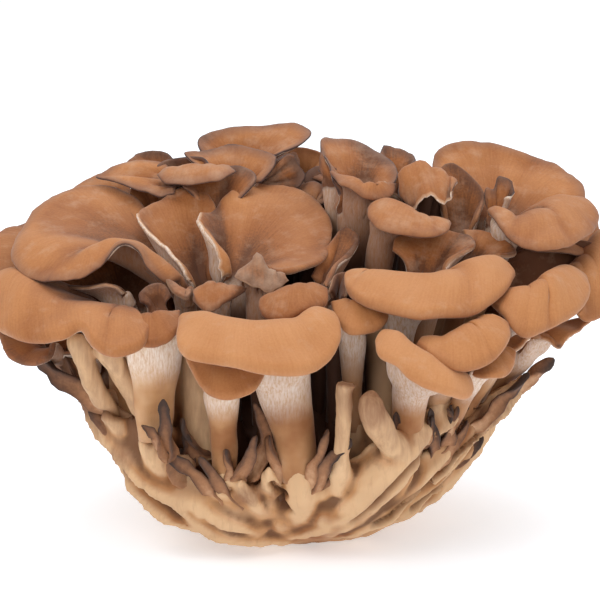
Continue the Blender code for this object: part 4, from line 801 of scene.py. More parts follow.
def ringCap(azimuth, radius, height, width, depth, lift, tone):
    # a lobed, tilted cap that leans outwards at an azimuth, each one bent in its own way
    draw = random.Random(azimuth * 7 + height)
    turn = math.radians(azimuth + draw.uniform(-4, 4))
    way = turn + math.radians(draw.uniform(-24, 24))
    out = np.array((math.sin(way), math.cos(way), 0.0))
    side = np.array((math.cos(way), -math.sin(way), 0.0))
    up = np.array((0.0, 0.0, 1.0))
    centre = np.array((math.sin(turn), math.cos(turn), 0.0)) * (radius - depth)
    roll, phase = draw.uniform(-0.25, 0.25), draw.uniform(0, 6)
    rim = []
    for step in range(-4, 5):
        angle = math.radians(step * 28)
        lobe = 1 + 0.09 * math.sin(3 * angle + phase) + draw.uniform(-0.06, 0.03)
        wave = 3 * math.sin(2 * angle + phase) + draw.uniform(-1.2, 1.2)
        sideways = width / 2 * math.sin(angle) * lobe
        rim.append(centre + out * depth * math.cos(angle) * lobe + side * sideways
                   + up * (height + wave + roll * sideways))
    return {
        **capDefaults, "rim": rim,
        "reach": draw.uniform(0.5, 0.68), "lift": lift * draw.uniform(0.5, 1.2),
        "neck": tuple(centre - out * 8 + up * (height - 12)),
        "foot": tuple(centre / (radius - depth) * min(radius * 0.62, 66) + up * 50),
        "neckSize": (width * 0.3, 8), "stemSize": (width * 0.2, 8), "thick": draw.uniform(2.6, 4.2),
        "edge": draw.uniform(1.6, 3.2), "tone": tone + draw.uniform(-0.08, 0.15),
        "greyRim": draw.uniform(0.15, 0.7), "bloom": draw.uniform(0, 0.15), "ruffle": draw.uniform(1, 1.9),
        "furrows": [(draw.uniform(-0.6, 0.6), draw.uniform(0.12, 0.3), draw.uniform(1, 3.5))],
        "faceSize": capShape["ringFaceSize"],
    }


def wander(places, spacing, seed, row):
    # smooth noise between about -1 and 1 at places along a line
    return np.array([noise.noise(Vector((place / spacing, seed, row))) for place in places])


def capLines(cap, seed):
    # a cap's ragged margin, its crown, the margin's length, and how far across the cap every point of
    # them lies, from -1 at its left end to 1 at its right end
    rim, neck = np.array(cap["rim"], float), np.array(cap["neck"], float)
    rimLength = np.linalg.norm(np.diff(rim, axis=0), axis=1).sum()
    spans = 2 * int(np.clip(rimLength / cap["faceSize"], *capShape["spans"]) // 2)
    across = np.linspace(-1, 1, spans + 1)
    across = 0.6 * across + 0.4 * np.sin(across * math.pi / 2)
    edge = spline(rim, (across + 1) / 2 * (len(rim) - 1))
    if "crown" in cap:
        crown = spline(cap["crown"], (across + 1) / 2 * (len(cap["crown"]) - 1))
        crown = crown - (0, 0, cap["thick"] / 2)
    else:
        lift = np.array((0, 0, cap["lift"])) * (1 - 0.4 * across[:, None]**2)
        crown = neck + (edge - neck) * cap["reach"] + lift

    places = across * rimLength / 2
    bites = sum(share * wander(places, spacing, seed * 3.7, row)
                for spacing, share, row in capShape["bites"])
    teeth = wander(places, capShape["toothSpacing"], seed * 2.9, 7.7)
    tornFrom, tornTo = cap["torn"]
    torn = (across > tornFrom) & (across < tornTo)
    ragged = bites * capShape["biteDepth"] * cap["ruffle"] + teeth * capShape["toothDepth"] * torn
    return edge + unit(edge - crown) * ragged[:, None], crown, rimLength, across


def capSheet(cap, edge, crown, inner, neckWay):
    # the sheet halfway through a cap's thickness, in rows of points from the neck over the crown to the
    # margin, and how far out every row lies, from 0 to 1
    toCrown = np.linalg.norm(crown - inner, axis=1)
    toEdge = np.linalg.norm(edge - crown, axis=1)
    peak = np.clip(toCrown / (toCrown + toEdge), 0.25, 0.8)[:, None]
    over = (crown - inner) / peak * (1 - peak) + (edge - crown) / (1 - peak) * peak
    leave = unit(neckWay * 0.55 + unit(crown - inner) * 0.45) * toCrown[:, None] / peak
    arrive = 1.5 * (edge - crown) / (1 - peak) - 0.5 * over
    rows = int(np.clip(float(np.max(toCrown + toEdge)) / cap["faceSize"], *capShape["rows"]))
    roundOff = capShape["roundOff"]
    outward = np.concatenate([np.linspace(0, roundOff, rows),
                              roundOff + (1 - roundOff) * np.sin(np.linspace(0.2, 1, 5) * math.pi / 2)])
    sheet = []
    for share in outward:
        climbing = share <= peak
        along = np.where(climbing, share / peak, (share - peak) / (1 - peak))
        climb = hermite(inner, crown, leave * peak, over * peak, along)
        fall = hermite(crown, edge, over * (1 - peak), arrive * (1 - peak), along)
        sheet.append(np.where(climbing, climb, fall))
    return np.array(sheet), outward


def sheetFacing(sheet):
    # the way that every point of a sheet faces
    return unit(np.cross(np.gradient(sheet, axis=1), np.gradient(sheet, axis=0)))


def waveSheet(cap, seed, sheet, outward, across):
    # bends a sheet into waves and furrows, and returns it with the way that its skin faces
    near = outward[:, None]
    normal = sheetFacing(sheet)
    middleWay = normal[len(outward) // 2, len(across) // 2]
    flip = -1 if middleWay @ np.array(cap["skinSide"], float) < 0 else 1
    spacing, height = capShape["broadWave"]
    wave = lumps(sheet, spacing, seed) * height * near
    for spacing, height, gathered, shift in capShape["rimWaves"]:
        wave += lumps(sheet, spacing, seed + shift) * height * cap["ruffle"] * near**gathered
    draw = random.Random(seed)
    folds = [(draw.uniform(*capShape["foldPlace"]), draw.uniform(*capShape["foldWidth"]),
              draw.uniform(*capShape["foldDepth"])) for _ in range(capShape["folds"])]
    for spot, width, depth in folds + cap["furrows"]:
        wave -= depth * np.exp(-((across - spot) / width)**2) * ease(near / 0.3) * (1.3 - near)
    sheet = sheet + normal * flip * wave[..., None]
    return sheet, sheetFacing(sheet) * flip


def skinToneAndShade(cap, sheet, normal, outward, across):
    # the skin's tone with painted shade: darker where it is hollow, in its furrows and near the neck
    # (painted shade), and along a greyed margin (its own colour)
    near = outward[:, None]
    blurred = sheet.copy()
    for _ in range(capShape["blurRounds"]):
        padded = np.pad(blurred, ((1, 1), (1, 1), (0, 0)), mode="edge")
        blurred = (padded[2:, 1:-1] + padded[:-2, 1:-1] + padded[1:-1, 2:] + padded[1:-1, :-2]) / 4
    hollow = ((blurred - sheet) * normal).sum(axis=-1)
    for spot, width, depth in cap["furrows"]:
        hollow = hollow + 0.25 * depth * np.exp(-((across - spot) / width)**2) * (1.2 - near)
    return (cap["tone"] + np.clip(hollow * 0.2, -0.14, 0.35)
            + capShape["neckShade"] * (1 - ease(near / 0.8))
            + capShape["rimShade"] * cap["greyRim"] * ease((near - 0.72) / 0.28))


def thickenSheet(cap, seed, sheet, normal, outward, across):
    # rings of points round a cap: along the skin from its left end, and back beneath
    neckDepth, roundOff = cap["neckSize"][1], capShape["roundOff"]
    thick = cap["thick"] + (neckDepth - cap["thick"]) * (1 - ease(outward / 0.5))**1.3
    thick = thick + (cap["edge"] - cap["thick"]) * ease((outward - 0.6) / 0.35)
    closing = np.sqrt(np.clip(1 - (np.clip(outward - roundOff, 0, 1) / (1 - roundOff))**2, 0, 1))
    power = 2 + 8 * ease(outward / 0.45)        # an oval at the neck, a flat sheet further out
    fill = np.array([np.clip(1 - np.abs(across)**p, 0, 1)**(1 / p) for p in power])
    half = (thick * closing)[:, None] * fill / 2
    spacing, depth = capShape["dents"]
    dents = lumps(sheet, spacing, seed + 31) * depth * ease(outward[:, None] / 0.3) * closing[:, None]
    top = sheet + normal * (half + dents * fill)[..., None]
    below = sheet - normal * half[..., None]
    return np.concatenate([top, below[:, -2:0:-1]], axis=1)


def stemRings(cap, seed, across, neckWay, lateral, skinWay):
    # rings of points up a stem, which widens from its foot into the neck
    neck, foot = np.array(cap["neck"], float), np.array(cap["foot"], float)
    (neckWidth, neckDepth), (stemWidth, stemDepth) = cap["neckSize"], cap["stemSize"]
    length = np.linalg.norm(neck - foot)
    footWay = unit(unit(neck - foot) + np.array((0, 0, 0.4)))
    rings = []
    for share in np.linspace(0, 1, int(np.clip(length / capShape["stemStep"], 8, 26)) + 1)[:-1]:
        centre = hermite(foot, neck, footWay * length, neckWay * length, share)
        ahead = hermite(foot, neck, footWay * length, neckWay * length, share + 0.02)
        way = unit(ahead - centre)
        side = unit(lateral - way * (lateral @ way))
        face = unit(np.cross(side, way))
        if face @ skinWay < 0:
            face = -face
        waist, flare = 1 - capShape["waist"] * (1 - ease(share / 0.4)), ease((share - 0.45) / 0.55)
        wide = stemWidth * waist + (neckWidth - stemWidth) * flare
        deep = stemDepth * waist + (neckDepth - stemDepth) * flare
        sideways = side * (across * wide / 2)[:, None]
        bulge = face * (np.sqrt(1 - across**2) * deep / 2)[:, None]
        ring = np.concatenate([centre + sideways + bulge, (centre + sideways - bulge)[-2:0:-1]])
        rings.append(ring + unit(ring - centre) * (lumps(ring, 12, seed + 5) * 0.8)[:, None])
    return np.array(rings)


def marginGaps(rings, spans, outward):
    # how far every point lies from the margin, in mm: over the rim, or round the side on the cap itself
    inward = np.linalg.norm(np.diff(rings, axis=0), axis=2)[::-1].cumsum(axis=0)[::-1]
    inward = np.concatenate([inward, np.zeros((1, rings.shape[1]))])
    around = np.linalg.norm(rings - np.roll(rings, 1, axis=1), axis=2)
    around[:, 0] = 0
    around = around.cumsum(axis=1)
    aside = np.minimum(np.minimum(around, around[:, -1:] - around),
                       np.abs(around - around[:, spans:spans + 1]))
    reach = np.concatenate([np.zeros(len(rings) - len(outward)), outward])
    return np.minimum(inward, aside + 30 * (1 - ease((reach[:, None] - 0.3) / 0.3)))


def growCap(name, cap, seed, material):
    # one frond: a stem that widens into a cap, skinned as rings from the foot to the rim
    neck, foot = np.array(cap["neck"], float), np.array(cap["foot"], float)
    edge, crown, rimLength, across = capLines(cap, seed)
    spans = len(across) - 1
    neckWay = unit(unit(neck - foot) * 0.6 + unit(crown[spans // 2] - neck) * 0.4
                   + np.array((0, 0, 0.2)))
    lateral = edge[-1] - edge[0]
    lateral = unit(lateral - neckWay * (lateral @ neckWay))
    inner = neck + lateral * (across * cap["neckSize"][0] / 2)[:, None]
    sheet, outward = capSheet(cap, edge, crown, inner, neckWay)
    sheet, normal = waveSheet(cap, seed, sheet, outward, across)
    toneAndShade = skinToneAndShade(cap, sheet, normal, outward, across)
    skinWay = unit(np.cross(lateral, neckWay))
    if skinWay @ normal[3:8].mean((0, 1)) < 0:
        skinWay = -skinWay
    blend = ease(outward / 0.2)[:, None, None]
    normal = unit(normal * blend + skinWay * (1 - blend))
    stem = stemRings(cap, seed, across, neckWay, lateral, skinWay)
    rings = np.concatenate([stem, thickenSheet(cap, seed, sheet, normal, outward, across)])

    # what the material reads. inset is mm in from the margin and below 0 beneath; bare is 1 on the
    # stem, where no skin grows; stem is 1 low on it, where no pores grow; shade carries the skin's tone
    # with painted shade; deep is painted shade inside the cluster and a painted shadow beneath a rolled cap
    shape = bmesh.new()
    layers = {key: shape.verts.layers.float.new(key)
              for key in ("inset", "bare", "stem", "shade", "greyRim", "brown", "bloom", "deep")}
    flow = shape.loops.layers.uv.new("flow")
    made = skinRings(shape, rings, closeEnd=False)
    gaps, depths, places = marginGaps(rings, spans, outward), howDeep(rings), {}
    # browner beneath the higher a cap stands: painted shade among the upper caps, unless given
    brown = cap.get("brown", 0.35 + 0.5 * float(ease((neck[2] - 84) / 18)))
    tornFrom, tornTo = cap["torn"]
    ringWidths = np.linalg.norm(rings[:, spans] - rings[:, 0], axis=1)
    climbed = np.concatenate([[0], np.cumsum(np.linalg.norm(
        np.diff(rings[:, spans // 2], axis=0), axis=1))])
    for ringNumber, ring in enumerate(made):
        onCap = ringNumber - len(stem)
        reach = outward[onCap] if onCap >= 0 else 0.0
        plain = 1 - ease((ringNumber / len(stem) - 0.6) / 0.4)
        inside = 1 - 0.65 * ease(reach / 0.2)
        for number, vertex in enumerate(ring):
            beneath = number > spans
            column = 2 * spans - number if beneath else number
            torn = float(tornFrom < across[column] < tornTo)
            gap, wrap = gaps[ringNumber, number], -0.5 if torn else 0.42 * cap["edge"]
            marks = {
                "inset": wrap - gap if beneath else wrap + gap,
                "bare": 1 - ease(reach / 0.12), "stem": plain, "shade": toneAndShade[max(onCap, 0), column],
                "greyRim": cap["greyRim"] * (1 - torn), "brown": brown, "bloom": cap["bloom"],
                "deep": max(depths[ringNumber, number] * inside * cap["insideShade"],
                            cap["shadow"] * beneath * ease((0.97 - reach) / 0.04)),
            }
            for key, value in marks.items():
                vertex[layers[key]] = float(value)
            sideways = (across[column] * rimLength / 2 if onCap >= 0
                        else number / len(ring) * 2 * ringWidths[ringNumber])
            places[vertex] = (sideways * mm, climbed[ringNumber] * mm)
    for face in shape.faces:
        for loop in face.loops:
            loop[flow].uv = places[loop.vert]
    bmesh.ops.remove_doubles(shape, verts=shape.verts, dist=1e-6)
    bmesh.ops.recalc_face_normals(shape, faces=shape.faces)
    return finishPiece(name, shape, material)


growthShape = {
    "tubeSides": 12, "tubeSteps": 4,            # faces round a tube, and rings from station to station
    "bladeSides": 14, "bladeSteps": 5,          # the same for a blade
    "sway": 0.6, "driedSway": 1.5,              # mm that a growing and a dried blade wander
    "driedWidth": 0.88,                         # how much of its width a blade keeps as it dries
}


def joinGrowth(shape, rings, tips=None):
    # skins rings into a closed growth and adds it to a shape; tips gives each ring's vertices a value
    growth = bmesh.new()
    tipLayer = growth.verts.layers.float.new("tip")
    made = skinRings(growth, rings, closeEnd=True)
    for number, ring in enumerate(made):
        for place, vertex in enumerate(ring):
            vertex[tipLayer] = 0.0 if tips is None else float(tips[number][place])
    mesh = bpy.data.meshes.new("growth")
    growth.to_mesh(mesh)
    growth.free()
    shape.from_mesh(mesh)
    bpy.data.meshes.remove(mesh)


def growTube(shape, stations, flat=False):
    # a tapered round growth through stations of (x, y, z, radius), with a rounded or a dished tip
    stations, sides = np.array(stations, float), growthShape["tubeSides"]
    last = len(stations) - 1
    line = spline(stations, np.linspace(0, last, last * growthShape["tubeSteps"] + 1))
    points, radii = line[:, :3], line[:, 3]
    ways = unit(np.gradient(points, axis=0))
    side = unit(np.cross(ways[0], (0.3, 0.9, 0.2)))
    angles = np.arange(sides) / sides * math.tau
    rings = []
    for point, radius, way in zip(points, radii, ways):
        side = unit(side - way * (side @ way))
        other = np.cross(way, side)
        rings.append(point + radius * (np.cos(angles)[:, None] * side + np.sin(angles)[:, None] * other))
    spokes = rings[0] - points[0]
    if flat:
        tip = [points[0] + spokes * 0.5 + ways[0] * 1.2, points[0] + spokes * 0.8 + ways[0] * 0.8]
    else:
        tip = [points[0] + spokes * math.cos(turn) - ways[0] * radii[0] * math.sin(turn)
               for turn in (1.25, 0.75)]
    joinGrowth(shape, tip + rings)


def growBlade(shape, stations, seed, curl, tilt=0.0, twist=0.0, dried=False):
    # a flattened growth through stations of (x, y, z, half width, half thickness), tip first. tilt
    # lifts its lower edge away from the cluster, curl lifts both edges
    if dried:
        x, y, z, width, depth = stations[-1]        # sinks the root into the base
        stations = [*stations, (x * 0.86, y * 0.86, z - 5, width, depth * 1.3)]
    stations, sides = np.array(stations, float), growthShape["bladeSides"]
    last = len(stations) - 1
    line = spline(stations, np.linspace(0, last, last * growthShape["bladeSteps"] + 1))
    points, depths = line[:, :3], line[:, 4]
    widths = line[:, 3] * (growthShape["driedWidth"] if dried else 1)
    sway = growthShape["driedSway" if dried else "sway"]
    points = points + np.stack([lumps(points, 8, seed + axis) for axis in (1, 2, 3)], axis=-1) * sway
    ways = unit(np.gradient(points, axis=0))
    outwards = unit(points * (1, 1, 0) + (0.001, 0, 0))
    edgeWays = unit(np.cross(ways, outwards))
    faceWays = unit(outwards - ways * (outwards * ways).sum(axis=1, keepdims=True))
    if edgeWays[len(edgeWays) // 2, 2] > 0:
        edgeWays = -edgeWays
    angles = np.arange(sides) / sides * math.tau
    rings = []
    for number, (point, width, depth) in enumerate(zip(points, widths, depths)):
        turn = math.radians(tilt) + twist * math.sin(seed + number * 0.3)
        side = edgeWays[number] * math.cos(turn) + faceWays[number] * math.sin(turn)
        face = faceWays[number] * math.cos(turn) - edgeWays[number] * math.sin(turn)
        ragged = width * (1 + 0.35 * sway * noise.noise(Vector((number * 0.6, seed * 3.3, 0.5))))
        rings.append(point + np.cos(angles)[:, None] * side * ragged
                     + (np.sin(angles) * depth + np.cos(angles)**2 * curl * width)[:, None] * face)
    spokes = rings[0] - points[0]
    rings = [points[0] - ways[0] * widths[0] * 1.2 + spokes * 0.25,
             points[0] - ways[0] * widths[0] * 0.6 + spokes * 0.75] + rings
    darkness = 1.02 + 0.4 * noise.noise(Vector((seed * 1.7, 2.2, 0.4)))
    tips = darkness * (0.75 * np.linspace(1, 0, len(rings))[:, None] + 0.25 * np.cos(angles)**2)
    joinGrowth(shape, rings, tips if dried else None)


# Pale growths with no cap, from the tip down into the base: [(x, y, z, radius), ...]
limbTable = {
    "flatToppedStem": [(16.5, -73, 77, 5), (16, -73, 74, 3.3), (15.5, -72, 60, 2.8),
                       (14.5, -69, 47, 3.2), (14, -60, 34, 6)],
    "bluntStem": [(25, -73, 69, 4.4), (27, -72, 62, 5.2), (31, -68, 54, 4.8), (36, -61, 45, 6.5),
                  (28, -54, 34, 9)],
    "frontTrunk": [(42, -58, 52, 6), (36, -60, 44, 8), (26, -59, 34, 9.5), (14, -49, 22, 10.5),
                   (5, -34, 15, 12)],
    "leftProp": [(-80, -56, 86, 4), (-75, -53, 70, 3.8), (-69, -48, 57, 4.4), (-54, -38, 36, 8)],
    "secondProp": [(-69, -58, 84, 5), (-65, -56, 76, 4.4), (-59, -53, 64, 4.6), (-50, -46, 42, 8)],
    "darkStemLeft": [(-38, -44, 88, 6.5), (-38, -45, 66, 6.5), (-35, -46, 40, 8)],
    "darkStemRight": [(30, -36, 84, 6), (30, -38, 62, 6), (26, -42, 38, 8)],
    "innerStemRight": [(-2, -34, 80, 6), (-2, -36, 56, 6), (0, -38, 34, 8)],
    "craterLump": [(-18, -60, 31, 3), (-18, -55, 25, 4.4), (-14, -46, 16, 7)],
    "paleKnob": [(-12, -64, 39, 2.2), (-12, -61, 34, 2.8), (-11, -53, 26, 5)],
    "frontLip": [(-7, -61, 30, 2.4), (-1, -62, 31, 3.2), (6, -61, 31, 3.8), (13, -59, 33, 4.2),
                 (18, -54, 30, 6)],
    "lipFill": [(3, -55, 28, 6.5), (4, -47, 21, 9.5), (4, -34, 15, 12)],
    "cavityFill": [(-7, -52, 24, 7), (-6, -46, 19, 9), (-4, -34, 15, 12)],
    "middleFill": [(9.5, -56, 28, 5.8), (9.5, -51, 21, 9), (8, -34, 15, 12)],
    "trunkFill": [(15, -56, 31, 6.5), (15, -51, 25, 8.5), (12, -33, 15, 12)],
    "curledKnob": [(37, -62, 36, 2), (35, -58, 33, 3.2)],
}

# Sheets of pale flesh that wrap the base like shingles: how far the lower edge lifts off, in degrees,
# and from the tip down [(x, y, z, half width, half thickness), ...]
sheetTable = {
    "trunkSheet": (24, [(61, -46, 67, 4, 1.5), (52, -51, 58, 6, 2), (43, -54, 51, 8, 2.4),
                        (31, -58, 41, 9.5, 3), (18, -58, 31, 9.5, 4), (5, -50, 20, 9, 5),
                        (-8, -36, 12, 8, 5)]),
    "secondSheet": (28, [(58, -44, 51, 4, 1.5), (47, -49, 39, 6, 2.2), (37, -50, 29, 7, 3),
                         (25, -48, 18, 7, 4), (12, -38, 10, 6, 4)]),
    "thirdSheet": (28, [(67, -31, 50, 4, 1.5), (57, -36, 39, 6, 2.2), (47, -38, 28, 6.5, 3),
                        (36, -36, 17, 6, 4), (24, -30, 10, 6, 4)]),
    "fourthSheet": (26, [(78, -15, 54, 3, 1.4), (70, -18, 43, 5, 2.2), (60, -21, 31, 6, 3),
                         (47, -22, 18, 6, 4), (34, -20, 10, 6, 4)]),
    "longBranch": (35, [(91, -18, 65, 2.4, 1.8), (82, -24, 60, 4, 1.8), (72, -31, 54, 5.5, 2),
                        (58, -40, 45, 6.5, 2.4), (44, -44, 33, 7, 4)]),
    "leftEar": (32, [(-73, -40, 59, 3, 1.3), (-69, -44, 53, 7, 1.8), (-63, -47, 47, 9, 2),
                     (-53, -53, 38, 9.5, 2.4), (-41, -55, 29, 8, 3.5), (-28, -50, 18, 8, 5),
                     (-14, -38, 12, 7, 5)]),
    "leftPocket": (26, [(-64, -44, 39, 4, 1.5), (-57, -48, 32, 8, 2), (-47, -51, 25, 9, 2.4),
                        (-31, -50, 17, 8, 3), (-14, -44, 11, 7, 4), (0, -32, 8, 6, 4)]),
    "leftCrumbA": (34, [(-81, -26, 58, 3, 1.3), (-74, -32, 50, 6, 1.8), (-64, -36, 39, 6, 2.6),
                        (-50, -34, 25, 6, 4)]),
    "leftCrumbB": (34, [(-78, -14, 52, 3, 1.3), (-71, -22, 42, 6, 1.8), (-61, -27, 30, 6, 2.6),
                        (-48, -26, 18, 6, 4)]),
    "leftCrumbC": (30, [(-70, -36, 45, 3, 1.3), (-64, -38, 37, 5, 1.8), (-55, -40, 27, 5, 2.6),
                        (-42, -38, 16, 5, 4)]),
    "lipLobeA": (6, [(-30, -62, 34, 2.4, 1.8), (-28, -60, 31, 4, 2.6), (-22, -53, 21, 5, 4)]),
    "lipLobeB": (-10, [(-21, -65, 35, 2.6, 2.2), (-19, -61, 30, 4.4, 2.8), (-15, -52, 20, 5, 4)]),
    "lipLobeC": (14, [(-11, -66, 41, 2.2, 2.0), (-10, -62, 35, 3.2, 2.6), (-8, -54, 23, 5, 4)]),
    "frontFold": (30, [(-44, -57, 32, 3, 1.5), (-34, -58, 25, 5, 2), (-22, -54, 18, 5.5, 3),
                       (-12, -44, 13, 5, 4)]),
}

baseShape = {
    # the bowl's outline from the middle of its foot to the middle of its top: radius and height
    "profile": [(0, 0), (30, 0), (38, 3), (46, 8), (52.5, 14), (56, 21), (56, 27), (49, 31), (37, 34),
                (27, 54), (14, 70), (0, 74)],
    "sides": 48,                                # faces round the bowl before they are subdivided
    "swellSpacing": 18, "swell": 3.0,           # mm, the bowl's uneven bulges
    "limbRootHeight": 12, "limbRootRadius": 8.0,
    "limbRootReach": 0.56,                      # how far out a limb ends, as a share of its stem's foot
    "grain": 1.25,                              # mm, side of one face after the growths are fused
    "filletRounds": 5,                          # rounds of filling the creases between growths
    "creaseScales": [(16, 0.5), (90, 1.8)],     # rounds of smoothing, and the depth in mm of a full crease
    "sheets": 22, "sheetSeed": 5, "sheetHeight": (42, 58), "sheetWidth": (4.5, 8),
    "sheetTilt": (22, 38), "sheetCurl": 0.3,
    "sheetRoot": 15,                            # mm, the height where those sheets end
    "grooveShade": 0.7,                         # how dark the painted shade in the grooves in front is
}
hollowTable = {                 # pits in the base, sunk and darkened with painted shade: x, y, z, radius, depth
    "craterPit": (-19, -60, 30, 3, 2.6), "sidePocket": (-46, -54, 33, 7, 4),
    "groovePit": (44, -50, 36, 4, 3), "rightPit": (50, -42, 30, 4, 3),
}
grooveTable = {                 # gaps between the sheets in front, sunk and darkened with painted shade: radius, depth, [(x, z), ...]
    "trunkGap": (3, 4, [(20, 18), (33, 34), (42, 43), (50, 49)]),
    "secondGap": (2.6, 3.5, [(27, 15), (46, 29), (57, 39), (66, 46)]),
    "branchGap": (4, 5, [(47, 46), (58, 50), (66, 58)]),
    "raggedCavity": (2.4, 6, [(-10, 35), (-6, 31), (-7.5, 28), (-4.5, 24)]),
    "thirdGap": (2.2, 3, [(42, 17), (58, 30), (70, 44)]),
    "ribbonGap": (2.6, 3.5, [(-50, 48), (-39, 39.5), (-26, 32)]),
    "earGap": (3.5, 4, [(-74, 58), (-63, 57), (-54, 50)]),
}
driedTable = {                  # browned places on the base: x, y, z, radius, strength
    "flatTop": (16.5, -74, 79, 7, 0.9), "bluntTop": (24, -73, 70, 16, 0.75),
    "earTip": (-73, -42, 59, 15, 0.8), "pocketTip": (-64, -46, 39, 11, 0.7),
    "crumbTip": (-81, -28, 58, 14, 0.9), "branchTip": (91, -20, 66, 14, 0.8),
    "trunkTip": (61, -48, 67, 9, 0.6), "secondTip": (58, -46, 51, 10, 0.6),
    "thirdTip": (67, -33, 50, 11, 0.7), "fourthTip": (78, -17, 54, 12, 0.7),
    "crater": (-19, -62, 32, 8, 0.7), "cavity": (-8, -62, 30, 6, 0.4),
}


def nearPoint(points, place, radius):
    # 1 at a place and 0 from a radius away
    return np.clip(1 - np.linalg.norm(points - place, axis=1) / radius, 0, 1)


def nearLine(points, line, radius):
    # 1 on a line through corners and 0 from a radius away, for points in the same plane
    line, nearest = np.array(line, float), np.full(len(points), np.inf)
    for start, end in zip(line, line[1:]):
        way = end - start
        share = np.clip(((points - start) @ way) / (way @ way), 0, 1)
        nearest = np.minimum(nearest, np.linalg.norm(points - start - share[:, None] * way, axis=1))
    return np.clip(1 - nearest / radius, 0, 1)


def fillCreases(mesh):
    # rounds the creases where growths meet and leaves the ridges; returns 1 in a crease and -1 on a ridge,
    # from which the material paints shade in the creases and a highlight on the ridges
    count = len(mesh.vertices)
    ends = np.empty(len(mesh.edges) * 2, dtype=np.int32)
    mesh.edges.foreach_get("vertices", ends)
    first, second = ends[0::2], ends[1::2]
    links = np.bincount(first, minlength=count) + np.bincount(second, minlength=count)
    places = np.empty(count * 3)
    mesh.vertices.foreach_get("co", places)
    places = places.reshape(-1, 3)

    def towardsNeighbours(points):
        total = np.zeros_like(points)
        for axis in range(3):
            total[:, axis] = (np.bincount(first, points[second, axis], count)
                              + np.bincount(second, points[first, axis], count))
        return total / links[:, None] - points

    def facing():
        mesh.vertices.foreach_set("co", places.ravel())
        mesh.update()
        ways = np.empty(count * 3)
        mesh.vertex_normals.foreach_get("vector", ways)
        return ways.reshape(-1, 3)

    for _ in range(baseShape["filletRounds"]):
        pull = towardsNeighbours(places)
        outwards = (pull * facing()).sum(axis=1)
        places += pull * np.where(outwards > 0, 0.6, 0.15)[:, None]
    ways = facing()
    smoothed = places.copy()
    creased = np.zeros(count)
    for rounds, full in baseShape["creaseScales"]:
        for _ in range(rounds):
            smoothed += towardsNeighbours(smoothed) * 0.5
        creased += ((smoothed - places) * ways).sum(axis=1) / (full * mm)
    return np.clip(creased, -1, 1)


def keepLargest(shape):
    # deletes every loose shell except the largest
    waiting, shells = set(shape.verts), []
    while waiting:
        shell, edge = set(), [waiting.pop()]
        while edge:
            vertex = edge.pop()
            shell.add(vertex)
            for link in vertex.link_edges:
                other = link.other_vert(vertex)
                if other in waiting:
                    waiting.remove(other)
                    edge.append(other)
        shells.append(shell)
    largest = max(shells, key=len)
    loose = [vertex for shell in shells if shell is not largest for vertex in shell]
    bmesh.ops.delete(shape, geom=loose, context="VERTS")


def growBowl(shape):
    # the solid bowl in the middle, spun from its outline and then made uneven
    verts = [shape.verts.new(Vector((radius, 0, height)) * mm) for radius, height in baseShape["profile"]]
    edges = [shape.edges.new(pair) for pair in zip(verts, verts[1:])]
    bmesh.ops.spin(shape, geom=verts + edges, cent=(0, 0, 0), axis=(0, 0, 1),
                   angle=math.tau, steps=baseShape["sides"], use_merge=True)
    bmesh.ops.subdivide_edges(shape, edges=shape.edges, cuts=2, use_grid_fill=True)
    for vertex in shape.verts:
        if vertex.co.z > 1 * mm:        # the foot stays flat
            swell = noise.noise(vertex.co / (baseShape["swellSpacing"] * mm)) * baseShape["swell"] * mm
            vertex.co += Vector((vertex.co.x, vertex.co.y, 0)).normalized() * swell


def growLimb(shape, cap):
    # carries a stem: it starts thin inside the stem and widens out of it towards the base
    foot, neck = Vector(cap["foot"]), Vector(cap["neck"])
    upward = (neck - foot).normalized()
    radius = min(cap["stemSize"]) / 2
    reach = baseShape["limbRootReach"]
    root = Vector((foot.x * reach, foot.y * reach, baseShape["limbRootHeight"]))
    middle = foot.lerp(root, 0.5) + Vector((foot.x, foot.y, 0)) * 0.06
    growTube(shape, [(*(foot + upward * 14), radius * 0.5), (*(foot + upward * 5), radius * 0.76),
                     (*(foot - upward * 4), radius), (*middle, radius + 2.5),
                     (*root, baseShape["limbRootRadius"])])


def growShoulder(shape):
    # sheets over the rest of the shoulder, from one side of the front round the back to the other
    draw = random.Random(baseShape["sheetSeed"])
    lowest = baseShape["sheetRoot"]
    for number in range(baseShape["sheets"]):
        turn = math.radians(-10 + 200 * number / (baseShape["sheets"] - 1)) + draw.uniform(-0.1, 0.1)
        height, width = draw.uniform(*baseShape["sheetHeight"]), draw.uniform(*baseShape["sheetWidth"])
        slant, tilt = draw.uniform(-0.5, 0.5), draw.uniform(*baseShape["sheetTilt"])
        stations = []
        for share, size, deep in ((0, 0.5, 1.4), (0.3, 0.9, 2), (0.65, 1, 2.8), (1, 0.9, 4)):
            along = turn + slant * share
            level = height + (lowest - height) * share
            radius = 47 + (level - lowest) * 0.75
            stations.append((radius * math.cos(along), radius * math.sin(along), level,
                             width * size, deep))
        growBlade(shape, stations, number + 30, baseShape["sheetCurl"], tilt)


def fuseGrowths(shape):
    # fuses growths that run into each other into one skin; returns its mesh
    mesh = bpy.data.meshes.new("growths")
    shape.to_mesh(mesh)
    shape.free()
    holder = bpy.data.objects.new("growths", mesh)
    scene.collection.objects.link(holder)
    remesh = holder.modifiers.new("Fuse", "REMESH")
    remesh.mode = "VOXEL"
    remesh.voxel_size = baseShape["grain"] * mm
    graph = bpy.context.evaluated_depsgraph_get()
    skin = bpy.data.meshes.new_from_object(holder.evaluated_get(graph))
    bpy.data.objects.remove(holder)
    shape = bmesh.new()
    shape.from_mesh(skin)
    keepLargest(shape)
    shape.to_mesh(skin)
    shape.free()
    return skin


